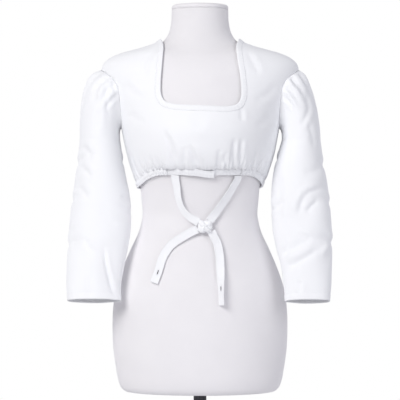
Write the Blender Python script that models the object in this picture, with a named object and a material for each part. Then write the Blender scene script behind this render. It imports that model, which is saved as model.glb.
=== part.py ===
"""A cropped dirndl blouse of white cotton on a limbless dress form, built as closed solids.

Metres, +Z up. The front of the blouse faces -Y, and its left sleeve as seen from there is at -X. The origin
is under the middle of the stand's round foot.
"""

import math
from collections import namedtuple

import bmesh
import bpy
import numpy as np
from mathutils import Vector

# Driving dimensions
CLOTH_WALL = 0.0016
LINE_SAMPLES = 400
RUN_SAMPLES = 2000
SEAM_GAP = 0.0003
FORM_BOTTOM = 0.1995
FORM_SIDES = 32
CAP_GAP = 0.0003
POLE_RADIUS = 0.0125
POLE_SIDES = 24
FOOT_RADIUS = 0.160
FOOT_THICKNESS = 0.010
FOOT_EDGE = 0.004
FOOT_SIDES = 36
COLLAR_RADIUS = 0.024
COLLAR_HEIGHT = 0.016
COLLAR_SIDES = 24

# Dress form, from its underside to the top of its neck: half width, and depth in front of and behind the middle
FormSection = namedtuple("FormSection", "height half_width front back")
FORM_SECTIONS = tuple(
    FormSection(*row)
    for row in (
        (0.1995, 0.136, 0.084, 0.092),
        (0.2015, 0.146, 0.091, 0.100),
        (0.2080, 0.1535, 0.097, 0.107),
        (0.2200, 0.1585, 0.101, 0.112),
        (0.2450, 0.1635, 0.104, 0.117),
        (0.2800, 0.1685, 0.106, 0.121),
        (0.3200, 0.1705, 0.106, 0.122),
        (0.3600, 0.1695, 0.104, 0.120),
        (0.3980, 0.1645, 0.101, 0.114),
        (0.4370, 0.1520, 0.096, 0.105),
        (0.4760, 0.1355, 0.090, 0.096),
        (0.5150, 0.1180, 0.084, 0.089),
        (0.5450, 0.1120, 0.080, 0.086),
        (0.5730, 0.1140, 0.082, 0.088),
        (0.6020, 0.1170, 0.088, 0.093),
        (0.6250, 0.1230, 0.096, 0.099),
        (0.6500, 0.1310, 0.109, 0.104),
        (0.6800, 0.1390, 0.122, 0.108),
        (0.7050, 0.1445, 0.127, 0.110),
        (0.7350, 0.1510, 0.121, 0.111),
        (0.7650, 0.1610, 0.109, 0.110),
        (0.7900, 0.1730, 0.098, 0.107),
        (0.8080, 0.1820, 0.091, 0.102),
        (0.8220, 0.1860, 0.085, 0.096),
        (0.8330, 0.1840, 0.079, 0.090),
        (0.8430, 0.1740, 0.073, 0.084),
        (0.8515, 0.1560, 0.069, 0.080),
        (0.8590, 0.1300, 0.065, 0.076),
        (0.8660, 0.1050, 0.062, 0.072),
        (0.8740, 0.0840, 0.059, 0.068),
        (0.8840, 0.0700, 0.0565, 0.063),
        (0.8980, 0.0610, 0.0545, 0.058),
        (0.9160, 0.0565, 0.0535, 0.0555),
        (0.9440, 0.0550, 0.0530, 0.0550),
    )
)
CapSection = namedtuple("CapSection", "rise share")
CAP_SECTIONS = tuple(
    CapSection(*row)
    for row in ((0.0, 0.985), (0.0012, 1.0), (0.0045, 1.0), (0.0068, 0.975), (0.0084, 0.92), (0.0090, 0.84))
)

# How far the inside of the bodice stands off the form, at the front, the two sides and the back
Lift = namedtuple("Lift", "height front left right back")
BODICE_LIFTS = tuple(
    Lift(*row)
    for row in (
        (0.590, 0.0046, 0.0046, 0.0048, 0.0046),
        (0.622, 0.0048, 0.0054, 0.0062, 0.0056),
        (0.642, 0.0085, 0.0066, 0.0080, 0.0078),
        (0.662, 0.0095, 0.0066, 0.0088, 0.0080),
        (0.690, 0.0065, 0.0060, 0.0078, 0.0070),
        (0.715, 0.0045, 0.0058, 0.0070, 0.0060),
        (0.760, 0.0042, 0.0055, 0.0060, 0.0050),
        (0.830, 0.0040, 0.0050, 0.0055, 0.0042),
        (0.900, 0.0040, 0.0050, 0.0055, 0.0040),
    )
)

# Lower edge of the casing under the bust, by the turn from the middle of the front, in degrees
HemPoint = namedtuple("HemPoint", "turn height")
HEM_EDGE = tuple(
    HemPoint(*row)
    for row in (
        (-180.0, 0.5940),
        (-120.0, 0.5945),
        (-90.0, 0.5970),
        (-66.0, 0.6050),
        (-53.0, 0.6145),
        (-38.0, 0.6215),
        (-20.0, 0.6218),
        (0.0, 0.6210),
        (25.0, 0.6215),
        (53.0, 0.6200),
        (67.0, 0.6120),
        (78.0, 0.6050),
        (90.0, 0.6005),
        (120.0, 0.5945),
        (180.0, 0.5940),
    )
)
CASING_HEIGHT = 0.0143
CASING_WALL = 0.0032
CASING_LIFT = 0.0024
CASING_BULGE = 0.0009
FLAT_CASING_WALL = 0.0020
FLAT_CASING_LIFT = 0.0028
CASING_STEP = 6.0
FRONT_CASING_TURNS = (-29.0, 12.5)
LAPPED_CASING_TURNS = (-7.0, 38.0)
LAP_RISE_TURNS = (-16.0, -8.5)
LAP_DROOP = 0.0042
LAP_DROOP_TURNS = (-6.0, 9.0)
LAP_GAP = 0.0006

# Armhole seam from the underarm to the shoulder: degrees towards the front and the back from the side
ArmholePoint = namedtuple("ArmholePoint", "height front back")
ARMHOLE = tuple(
    ArmholePoint(*row)
    for row in (
        (0.7140, 0.0, 0.0),
        (0.7172, 5.0, 4.5),
        (0.7235, 9.5, 9.0),
        (0.7340, 13.5, 13.0),
        (0.7480, 17.0, 16.0),
        (0.7640, 21.0, 19.5),
        (0.7820, 25.5, 23.0),
        (0.8000, 27.0, 24.0),
        (0.8125, 22.5, 20.5),
        (0.8205, 13.5, 12.5),
        (0.8250, 0.0, 0.0),
    )
)

# Front neckline, from the left shoulder to the right one, and the lower back one: across and up
NeckPoint = namedtuple("NeckPoint", "across height")
FRONT_NECK = tuple(
    NeckPoint(*row)
    for row in (
        (-0.0700, 0.8680),
        (-0.0715, 0.8450),
        (-0.0735, 0.8150),
        (-0.0745, 0.7900),
        (-0.0730, 0.7720),
        (-0.0660, 0.7590),
        (-0.0520, 0.7530),
        (-0.0300, 0.7505),
        (0.0000, 0.7490),
        (0.0300, 0.7480),
        (0.0560, 0.7485),
        (0.0710, 0.7545),
        (0.0770, 0.7670),
        (0.0780, 0.7850),
        (0.0765, 0.8080),
        (0.0720, 0.8400),
        (0.0695, 0.8670),
    )
)
FRONT_NECK_CORNERS = (-0.0660, 0.0710)
BACK_NECK = tuple(
    NeckPoint(*row)
    for row in (
        (-0.0680, 0.8640),
        (-0.0540, 0.8480),
        (-0.0300, 0.8390),
        (0.0000, 0.8360),
        (0.0300, 0.8390),
        (0.0540, 0.8480),
        (0.0680, 0.8640),
    )
)
NECK_HALF_WIDTH = 0.0725
NECK_CORNER_RISE = 0.020
BACK_YOKE_ACROSS = 0.060

# Grid of the bodice panels: columns across each strap and the middle, and rows as shares of the height
STRAP_SHARES = (0.0, 0.21, 0.42, 0.61, 0.78, 0.92, 1.0)
STRAP_COLUMNS = len(STRAP_SHARES) - 1
MIDDLE_COLUMNS = 12
STRAP_ROWS = 9
GATHER_ROWS = (0.0, 0.055, 0.115, 0.185)
PUFF_ROWS = (0.28, 0.385, 0.50)
CHEST_ROWS = (0.62, 0.74, 0.805, 0.87, 0.935, 1.0)
UNDERARM_SHARE = 0.74
YOKE_TURN = 0.30
EDGE_HOLD = 3
GATHER_SPLIT = 4
PUFF_SPLIT = 2

# Gathers in the front, as troughs: turn at the casing and at their top end in degrees, length, depth and width
Gather = namedtuple("Gather", "turn top_turn length depth width")
FRONT_GATHERS = tuple(
    Gather(*row)
    for row in (
        (-84.0, -85.0, 0.040, 0.0028, 2.6),
        (-75.0, -78.0, 0.048, 0.0031, 2.8),
        (-66.0, -70.0, 0.055, 0.0037, 2.8),
        (-55.5, -60.0, 0.050, 0.0034, 2.6),
        (-47.0, -51.0, 0.045, 0.0034, 2.4),
        (-40.5, -44.0, 0.038, 0.0031, 2.2),
        (-34.5, -38.0, 0.032, 0.0028, 2.0),
        (-19.5, -28.5, 0.082, 0.0040, 2.4),
        (-12.5, -14.0, 0.034, 0.0025, 2.2),
        (-1.5, -10.0, 0.046, 0.0034, 3.2),
        (14.5, 20.0, 0.040, 0.0034, 2.8),
        (21.5, 23.0, 0.036, 0.0028, 2.2),
        (28.5, 26.0, 0.060, 0.0034, 2.4),
        (34.8, 32.0, 0.060, 0.0034, 2.4),
        (46.5, 49.0, 0.046, 0.0034, 2.6),
        (54.0, 58.0, 0.050, 0.0034, 2.6),
        (62.5, 66.0, 0.050, 0.0034, 2.8),
        (73.0, 76.0, 0.046, 0.0031, 2.8),
        (83.5, 85.0, 0.040, 0.0028, 2.6),
    )
)
BACK_GATHERS = 24
BACK_GATHER_DEPTH = 0.0030
BACK_GATHER_LENGTH = 0.045
BACK_GATHER_WIDTH = 2.6
BACK_GATHER_UNEVEN = 0.30
BACK_GATHER_SHIFT = 1.2
BACK_GATHER_LEAN = 2.2
GATHER_CREST = 0.0016

# Sleeves, by height: where their outer and inner outlines lie across, the middle's place front to back,
# half the depth, and how far the ring tips, its front edge up
SleeveRing = namedtuple("SleeveRing", "height outer inner middle half_depth tip")
LEFT_SLEEVE = tuple(
    SleeveRing(*row)
    for row in (
        (0.3800, 0.2540, 0.1525, -0.0740, 0.0255, 0.20),
        (0.4100, 0.2560, 0.1520, -0.0670, 0.0280, 0.17),
        (0.4460, 0.2555, 0.1460, -0.0570, 0.0320, 0.14),
        (0.4810, 0.2545, 0.1390, -0.0470, 0.0350, 0.12),
        (0.5110, 0.2530, 0.1345, -0.0390, 0.0380, 0.10),
        (0.5460, 0.2500, 0.1335, -0.0300, 0.0420, 0.08),
        (0.5810, 0.2465, 0.1365, -0.0220, 0.0460, 0.06),
        (0.6120, 0.2425, 0.1430, -0.0160, 0.0490, 0.04),
        (0.6410, 0.2390, 0.1485, -0.0110, 0.0510, 0.03),
        (0.6700, 0.2355, 0.1530, -0.0070, 0.0520, 0.01),
        (0.6900, 0.2335, 0.1560, -0.0050, 0.0520, 0.0),
    )
)
RIGHT_SLEEVE = tuple(
    SleeveRing(*row)
    for row in (
        (0.3790, 0.2490, 0.1640, -0.0740, 0.0255, 0.20),
        (0.4100, 0.2515, 0.1610, -0.0670, 0.0275, 0.17),
        (0.4460, 0.2530, 0.1560, -0.0570, 0.0310, 0.14),
        (0.4770, 0.2550, 0.1480, -0.0480, 0.0350, 0.12),
        (0.5060, 0.2545, 0.1420, -0.0400, 0.0380, 0.10),
        (0.5400, 0.2528, 0.1392, -0.0310, 0.0420, 0.08),
        (0.5780, 0.2500, 0.1385, -0.0230, 0.0460, 0.06),
        (0.6120, 0.2456, 0.1410, -0.0160, 0.0490, 0.04),
        (0.6430, 0.2395, 0.1465, -0.0110, 0.0510, 0.03),
        (0.6700, 0.2365, 0.1540, -0.0070, 0.0520, 0.01),
        (0.6900, 0.2340, 0.1600, -0.0050, 0.0520, 0.0),
    )
)
ARMHOLE_ROWS = 4
SLEEVE_RINGS = 11
HEAD_SHARES = (0.07, 0.16, 0.27, 0.40)
SHOULDER_SHARES = (0.56, 0.74, 0.88)
LOOP_SMOOTHING = 3
UNDERARM_OUTWARD = 0.75
LEFT_HEAD_OUTWARD = 0.90
RIGHT_HEAD_OUTWARD = 0.45
HEAD_ONWARD = 0.12
SLEEVE_DROP = 1.0
HEAD_PLEATS = 5
PLEAT_START = 0.36
PLEAT_RISE = 4.0
PLEAT_DEPTH = 0.0027
PLEAT_SHARES = (0.0, 0.35, 0.9, 0.8, 0.35)
FOLD_ENDS = 0.55
SLEEVE_RIM_ROW = 5

# Largest soft folds of the sleeves, as troughs: share of the way round (0 inner, 0.25 front, 0.5 outer,
# 0.75 back) and height at both ends, depth and half the width
Fold = namedtuple("Fold", "turn height top_turn top_height depth width")
LEFT_FOLDS = tuple(
    Fold(*row)
    for row in (
        (0.10, 0.392, 0.20, 0.480, 0.0040, 0.011),
        (0.42, 0.640, 0.33, 0.672, 0.0030, 0.013),
        (0.44, 0.585, 0.36, 0.612, 0.0028, 0.012),
        (0.34, 0.470, 0.42, 0.510, 0.0026, 0.012),
        (0.60, 0.470, 0.86, 0.520, 0.0034, 0.013),
        (0.66, 0.600, 0.84, 0.570, 0.0030, 0.013),
    )
)
RIGHT_FOLDS = tuple(
    Fold(*row)
    for row in (
        (0.22, 0.540, 0.40, 0.592, 0.0036, 0.012),
        (0.14, 0.470, 0.36, 0.500, 0.0036, 0.012),
        (0.20, 0.500, 0.28, 0.560, 0.0026, 0.012),
        (0.38, 0.455, 0.46, 0.480, 0.0024, 0.011),
        (0.62, 0.500, 0.84, 0.470, 0.0034, 0.013),
        (0.66, 0.570, 0.86, 0.600, 0.0030, 0.013),
    )
)

# Neckline band: a narrow strip laid on the panels, along the neckline
NECK_BAND_WIDTH = 0.010
NECK_BAND_WALL = 0.0012
NECK_BAND_GAP = 0.0004
NECK_BAND_SHOULDER_GAP = 0.0017
FRONT_BAND_STEPS = 40
BACK_BAND_STEPS = 22

# Ties, from the casing down: across and up, clearance from the form, and turn about their own length
TiePoint = namedtuple("TiePoint", "across height clear turn")
TIE_WIDTH = 0.0160
TIE_WALL = 0.0014
TIE_STEP = 0.010
TIES = {
    "tie_upper_left": (
        TiePoint(-0.0462, 0.6214, 0.0038, 0.0),
        TiePoint(-0.0458, 0.6140, 0.0038, -2.0),
        TiePoint(-0.0430, 0.5990, 0.0045, -14.0),
        TiePoint(-0.0385, 0.5730, 0.0062, -30.0),
        TiePoint(-0.0275, 0.5490, 0.0078, -32.0),
        TiePoint(0.0040, 0.5240, 0.0095, -10.0),
    ),
    "tie_upper_right": (
        TiePoint(0.0712, 0.6207, 0.0038, 0.0),
        TiePoint(0.0702, 0.6150, 0.0038, 1.0),
        TiePoint(0.0635, 0.6020, 0.0042, 6.0),
        TiePoint(0.0540, 0.5860, 0.0052, 12.0),
        TiePoint(0.0395, 0.5645, 0.0068, 16.0),
        TiePoint(0.0270, 0.5460, 0.0080, 14.0),
        TiePoint(0.0120, 0.5240, 0.0095, 4.0),
    ),
    "tie_end_left": (
        TiePoint(0.0060, 0.5200, 0.0095, 0.0),
        TiePoint(-0.0110, 0.5135, 0.0080, 8.0),
        TiePoint(-0.0330, 0.5010, 0.0062, 14.0),
        TiePoint(-0.0535, 0.4865, 0.0050, 16.0),
        TiePoint(-0.0690, 0.4640, 0.0044, 14.0),
        TiePoint(-0.0780, 0.4365, 0.0042, 10.0),
        TiePoint(-0.0860, 0.4140, 0.0046, 6.0),
    ),
    "tie_end_right": (
        TiePoint(0.0160, 0.5200, 0.0100, 0.0),
        TiePoint(0.0245, 0.5040, 0.0085, 0.0),
        TiePoint(0.0325, 0.4870, 0.0062, -2.0),
        TiePoint(0.0360, 0.4700, 0.0060, -6.0),
        TiePoint(0.0375, 0.4450, 0.0066, -16.0),
        TiePoint(0.0385, 0.4200, 0.0084, -42.0),
        TiePoint(0.0390, 0.3980, 0.0092, -60.0),
        TiePoint(0.0400, 0.3725, 0.0092, -62.0),
    ),
}
TIE_SAMPLES = 1000
KNOT_PLACE = (0.0090, 0.5205)
KNOT_HALF_SIZE = (0.0152, 0.0085, 0.0130)
KNOT_CLEAR = 0.0105
KNOT_ROUND = 24
KNOT_RINGS = 14
KNOT_SQUARENESS = 0.08
KNOT_WRAP_SLANT = 0.6
KNOT_WRAP_HALF_WIDTH = 0.42
KNOT_GROOVE_DEPTH = 0.16
KNOT_GROOVE_WIDTH = 0.13

# Colours, roughness and metal share of each material
Finish = namedtuple("Finish", "colour roughness metal")
COTTON = Finish((0.90, 0.91, 0.93), 0.85, 0.0)
TAPE = Finish((0.88, 0.89, 0.92), 0.80, 0.0)
JERSEY = Finish((0.80, 0.79, 0.80), 0.90, 0.0)
CAP_COVER = Finish((0.78, 0.77, 0.79), 0.80, 0.0)
POLE_STEEL = Finish((0.06, 0.06, 0.07), 0.35, 0.9)
FOOT_PAINT = Finish((0.75, 0.75, 0.76), 0.45, 0.0)


class SmoothCurve:
    """Values that pass smoothly through a table's rows, over a rising position."""

    def __init__(self, positions, values):
        self.positions = np.asarray(positions, float)
        self.values = np.asarray(values, float)
        self.slopes = np.gradient(self.values, self.positions)

    def __call__(self, position):
        place = np.clip(position, self.positions[0], self.positions[-1])
        row = np.clip(np.searchsorted(self.positions, place, side="right") - 1, 0, len(self.positions) - 2)
        span = self.positions[row + 1] - self.positions[row]
        share = (place - self.positions[row]) / span
        return hermite(
            share,
            self.values[row],
            self.slopes[row] * span,
            self.values[row + 1],
            self.slopes[row + 1] * span,
        )


def hermite(share, start, start_slope, end, end_slope):
    """The cubic between two values with given slopes at its ends."""
    square = share * share
    cube = square * share
    return (
        (2 * cube - 3 * square + 1) * start
        + (cube - 2 * square + share) * start_slope
        + (3 * square - 2 * cube) * end
        + (cube - square) * end_slope
    )


def curves_of(rows, positions):
    """One smooth curve for each named column of a table."""
    return {name: SmoothCurve(positions, [getattr(row, name) for row in rows]) for name in rows[0]._fields}


def run_length(points):
    """Distance from the first point, along straight runs between the points."""
    steps = np.linalg.norm(np.diff(points, axis=0), axis=1)
    return np.concatenate([[0.0], np.cumsum(steps)])


def eased(share):
    """0 to 1 with level ends."""
    share = np.clip(share, 0.0, 1.0)
    return share * share * (3 - 2 * share)


def eased_between(position, start, end):
    return eased((position - start) / (end - start))


def unit(vectors):
    return vectors / np.linalg.norm(vectors, axis=-1, keepdims=True)


# The form's surface, by turn (0 right side, quarter turn front, half turn left side) and run up its side
FORM_RUN = run_length(np.array([(row.half_width, row.height) for row in FORM_SECTIONS]))
FORM = curves_of(FORM_SECTIONS, FORM_RUN)
FINE_RUN = np.linspace(0.0, FORM_RUN[-1], RUN_SAMPLES)
FINE_HEIGHT = np.maximum.accumulate(FORM["height"](FINE_RUN))
SHOULDER_RUN = FINE_RUN[np.argmax(FORM["half_width"](FINE_RUN))]
LIFTS = curves_of(BODICE_LIFTS, [row.height for row in BODICE_LIFTS])
HEM_HEIGHT = SmoothCurve([row.turn for row in HEM_EDGE], [row.height for row in HEM_EDGE])


def run_at_height(height):
    return np.interp(height, FINE_HEIGHT, FINE_RUN)


def run_at_neck_width(half_width):
    """Run up the side to where the shoulder has narrowed to this half width."""
    above = FINE_RUN[FINE_RUN > SHOULDER_RUN]
    return float(np.interp(-half_width, -FORM["half_width"](above), above))


def on_form(turn, run):
    turn, run = np.broadcast_arrays(turn, run)
    depth = np.where(np.sin(turn) >= 0, FORM["front"](run), FORM["back"](run))
    return np.stack(
        [FORM["half_width"](run) * np.cos(turn), -depth * np.sin(turn), FORM["height"](run)], axis=-1
    )


def form_directions(turn, run, step=1e-4):
    """Directions of rising turn and rising run on the form's surface."""
    by_turn = (on_form(turn + step, run) - on_form(turn - step, run)) / (2 * step)
    by_run = (on_form(turn, run + step) - on_form(turn, run - step)) / (2 * step)
    return by_turn, by_run


def in_directions(step, first, second):
    """Shares of two slanted directions that add up to a step."""
    first_square = np.sum(first * first, axis=1)
    second_square = np.sum(second * second, axis=1)
    slant = np.sum(first * second, axis=1)
    along_first, along_second = np.sum(step * first, axis=1), np.sum(step * second, axis=1)
    area = first_square * second_square - slant**2
    return (
        (second_square * along_first - slant * along_second) / area,
        (first_square * along_second - slant * along_first) / area,
    )


def form_normal(turn, run):
    by_turn, by_run = form_directions(turn, run)
    return unit(np.cross(by_run, by_turn))


def place_on_form(across, height, behind=False):
    """Turn and run of the point of the form's front, or back, at this place seen from the front."""
    run = run_at_height(height)
    turn = np.arccos(np.clip(across / FORM["half_width"](run), -1.0, 1.0))
    return (2 * math.pi - turn if behind else turn), run


def degrees_from_front(turn):
    """Turn from the middle of the front in degrees, positive to the right."""
    return (90.0 - np.degrees(turn) + 180.0) % 360.0 - 180.0


def back_gathers():
    """Gathers of the back, evenly counted and unevenly long and deep."""
    rows = []
    for number in range(BACK_GATHERS):
        turn = 90.0 + 180.0 * (number + 0.5) / BACK_GATHERS
        rows.append(
            Gather(
                turn + BACK_GATHER_SHIFT * math.sin(1.7 * number),
                turn + BACK_GATHER_LEAN * math.sin(1.1 * number + 0.4),
                BACK_GATHER_LENGTH * (1 + BACK_GATHER_UNEVEN * math.sin(2.4 * number + 0.7)),
                BACK_GATHER_DEPTH * (1 + BACK_GATHER_UNEVEN / 2 * math.cos(3.1 * number)),
                BACK_GATHER_WIDTH,
            )
        )
    return tuple(rows)


GATHERS = FRONT_GATHERS + back_gathers()


def gather_depth(turn, height):
    """How far the gathers push the cloth in, and a little out between them."""
    degrees = degrees_from_front(turn)
    above = height - (HEM_HEIGHT(degrees) + CASING_HEIGHT)
    total = -GATHER_CREST * (1 - eased(above / BACK_GATHER_LENGTH))
    for row in GATHERS:
        rise = np.clip(above / row.length, 0.0, 1.0)
        middle = row.turn + (row.top_turn - row.turn) * rise
        aside = (degrees - middle + 180.0) % 360.0 - 180.0
        total = total + row.depth * np.exp(-((aside / row.width) ** 2)) * (1 - eased(above / row.length))
    return total


def bodice_lift(turn, run):
    """Gap between the form and the inside of the bodice."""
    height = FORM["height"](run)
    side, face = np.cos(turn), np.sin(turn)
    lift = (
        LIFTS["front"](height) * np.maximum(face, 0) ** 2
        + LIFTS["back"](height) * np.maximum(-face, 0) ** 2
        + LIFTS["left"](height) * np.maximum(-side, 0) ** 2
        + LIFTS["right"](height) * np.maximum(side, 0) ** 2
    )
    return lift - gather_depth(turn, height)


def off_bodice(turn, run, out):
    """Point this far outside the inside face of the bodice."""
    lift = bodice_lift(turn, run) + out
    return on_form(turn, run) + form_normal(turn, run) * lift[..., None]


def volume_of(points, faces):
    """Volume inside closed faces, negative where they face inwards."""
    return sum(
        np.dot(points[face[0]], np.cross(points[face[n]], points[face[n + 1]]))
        for face in faces
        for n in range(1, len(face) - 1)
    ) / 6


class Sheet:
    """A wall of cloth: an outer and an inner layer of points with the same faces, closed along its edges."""

    def __init__(self):
        self.outer = []
        self.inner = []
        self.faces = []

    def row(self, outer, inner, closed=False):
        first = len(self.outer)
        self.outer.extend(outer)
        self.inner.extend(inner)
        numbers = list(range(first, len(self.outer)))
        return numbers + numbers[:1] if closed else numbers

    def join(self, low, high):
        """Faces between two rows, where one may have a whole multiple of the other's steps."""
        steps = min(len(low), len(high)) - 1
        low_split = (len(low) - 1) // steps
        high_split = (len(high) - 1) // steps
        for step in range(steps):
            below = low[step * low_split : (step + 1) * low_split + 1]
            above = high[step * high_split : (step + 1) * high_split + 1]
            self.faces.append(below + above[::-1])

    def solid(self):
        """Points and faces of the closed wall."""
        count = len(self.outer)
        faces = list(self.faces) + [[n + count for n in reversed(face)] for face in self.faces]
        edges = {}
        for face in self.faces:
            for start, end in zip(face, face[1:] + face[:1]):
                edges[(start, end)] = edges.get((start, end), 0) + 1
        for start, end in edges:
            if (end, start) not in edges:
                faces.append([end, start, start + count, end + count])
        points = np.array(self.outer + self.inner)
        if volume_of(points, faces) < 0:
            faces = [face[::-1] for face in faces]
        return points, faces


def patch(bottom, top, left, right, across, up, hold=1):
    """Grid of (turn, run) pairs spread between four edges that meet at their corners.

    A higher hold keeps the bends of the left and right edges closer to them.
    """
    across = np.asarray(across)[None, :, None]
    up = np.asarray(up)[:, None, None]
    spread = (1 - up) * bottom[None] + up * top[None]
    left_bend = left[:, None] - spread[:, :1]
    right_bend = right[:, None] - spread[:, -1:]
    return spread + (1 - across) ** hold * left_bend + across**hold * right_bend


class EdgeLine:
    """A smooth line on the form, through points given by turn and run, read by its length or a share of it."""

    def __init__(self, turns, runs):
        self.turns, self.runs = turns, runs
        self.lengths = run_length(on_form(turns, runs))
        self.length = self.lengths[-1]

    def __call__(self, length):
        return np.interp(length, self.lengths, self.turns), np.interp(length, self.lengths, self.runs)


class Half:
    """The front or the back half of the bodice, with its edges as (turn, run) pairs.

    The corner lengths are where a neckline turns up from its lower stretch.
    """

    def __init__(self, behind):
        self.behind = behind
        self.depth = FORM["back" if behind else "front"]
        end_run = run_at_neck_width(NECK_HALF_WIDTH)
        end_height = float(FORM["height"](end_run))
        rows = BACK_NECK if behind else FRONT_NECK
        ends = [NeckPoint(side * NECK_HALF_WIDTH, end_height) for side in (-1, 1)]
        places = np.array([ends[0], *rows, ends[1]])
        curves = [SmoothCurve(run_length(places), places[:, column]) for column in (0, 1)]
        fine = np.linspace(0, run_length(places)[-1], LINE_SAMPLES)
        across, height = curves[0](fine), curves[1](fine)
        turns, runs = place_on_form(across, height, behind)
        turns[0], turns[-1] = self.side_turn(True, end_run), self.side_turn(False, end_run)
        self.neck_line = EdgeLine(turns, runs)
        low = height < height.min() + NECK_CORNER_RISE
        self.corner_lengths = np.interp(FRONT_NECK_CORNERS, across[low], self.neck_line.lengths[low])
        table = np.array([(row.height, row.back if behind else row.front) for row in ARMHOLE])
        seam_turns, seam_runs = np.radians(table[:, 1]), run_at_height(table[:, 0])
        rough = run_length(on_form(seam_turns, seam_runs))
        fine = np.linspace(0, rough[-1], LINE_SAMPLES)
        self.armhole_line = EdgeLine(SmoothCurve(rough, seam_turns)(fine), SmoothCurve(rough, seam_runs)(fine))

    def aside(self, angle, left):
        """Turn of a point this angle away from the side, on this half."""
        base = math.pi if left else (2 * math.pi if self.behind else 0.0)
        towards = 1.0 if left == self.behind else -1.0
        return base + towards * angle

    def side_turn(self, left, run):
        """Turn of the side or shoulder seam, half a gap clear of the other half."""
        return self.aside(SEAM_GAP / 2 / self.depth(run), left)

    def neck(self, length):
        return np.stack(self.neck_line(length), axis=-1)

    def armhole(self, share, left):
        """Armhole seam by the share of its length from the underarm to the shoulder."""
        angle, run = self.armhole_line(share * self.armhole_line.length)
        angle = np.maximum(angle, SEAM_GAP / 2 / self.depth(run))
        return np.stack([self.aside(angle, left), run], axis=-1)

    def side_edge(self, up, left):
        """Side seam up to the underarm, then the armhole seam up to the yoke line."""
        up = np.asarray(up)
        hem = HEM_HEIGHT(-90.0 if left else 90.0) + CASING_HEIGHT + SEAM_GAP
        underarm_run = run_at_height(ARMHOLE[0].height)
        seam_run = run_at_height(hem) + (underarm_run - run_at_height(hem)) * np.minimum(up / UNDERARM_SHARE, 1)
        seam = np.stack([self.side_turn(left, seam_run), seam_run], axis=-1)
        above = self.armhole(np.maximum(up - UNDERARM_SHARE, 0) / (1 - UNDERARM_SHARE) * YOKE_TURN, left)
        return np.where((up <= UNDERARM_SHARE)[:, None], seam, above)

    def hem_edge(self, across):
        start = self.side_turn(True, run_at_height(HEM_HEIGHT(-90.0)))
        end = self.side_turn(False, run_at_height(HEM_HEIGHT(90.0)))
        turn = start + (end - start) * np.asarray(across)
        height = HEM_HEIGHT(degrees_from_front(turn)) + CASING_HEIGHT + SEAM_GAP
        return np.stack([turn, run_at_height(height)], axis=-1)


def strap_shares(split=1):
    """Shares of a strap's width from the armhole to the neckline, each column split evenly."""
    return np.interp(np.arange(STRAP_COLUMNS * split + 1) / split, np.arange(STRAP_COLUMNS + 1), STRAP_SHARES)


def straight(start, end, shares):
    return start + (end - start) * np.asarray(shares)[:, None]


def add_rows(sheet, grid, out=0.0, wall=CLOTH_WALL):
    """Rows of points of the sheet over a grid of (turn, run) pairs."""
    outer = off_bodice(grid[..., 0], grid[..., 1], out + wall)
    inner = off_bodice(grid[..., 0], grid[..., 1], out)
    return [sheet.row(list(o), list(i)) for o, i in zip(outer, inner)]


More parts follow.
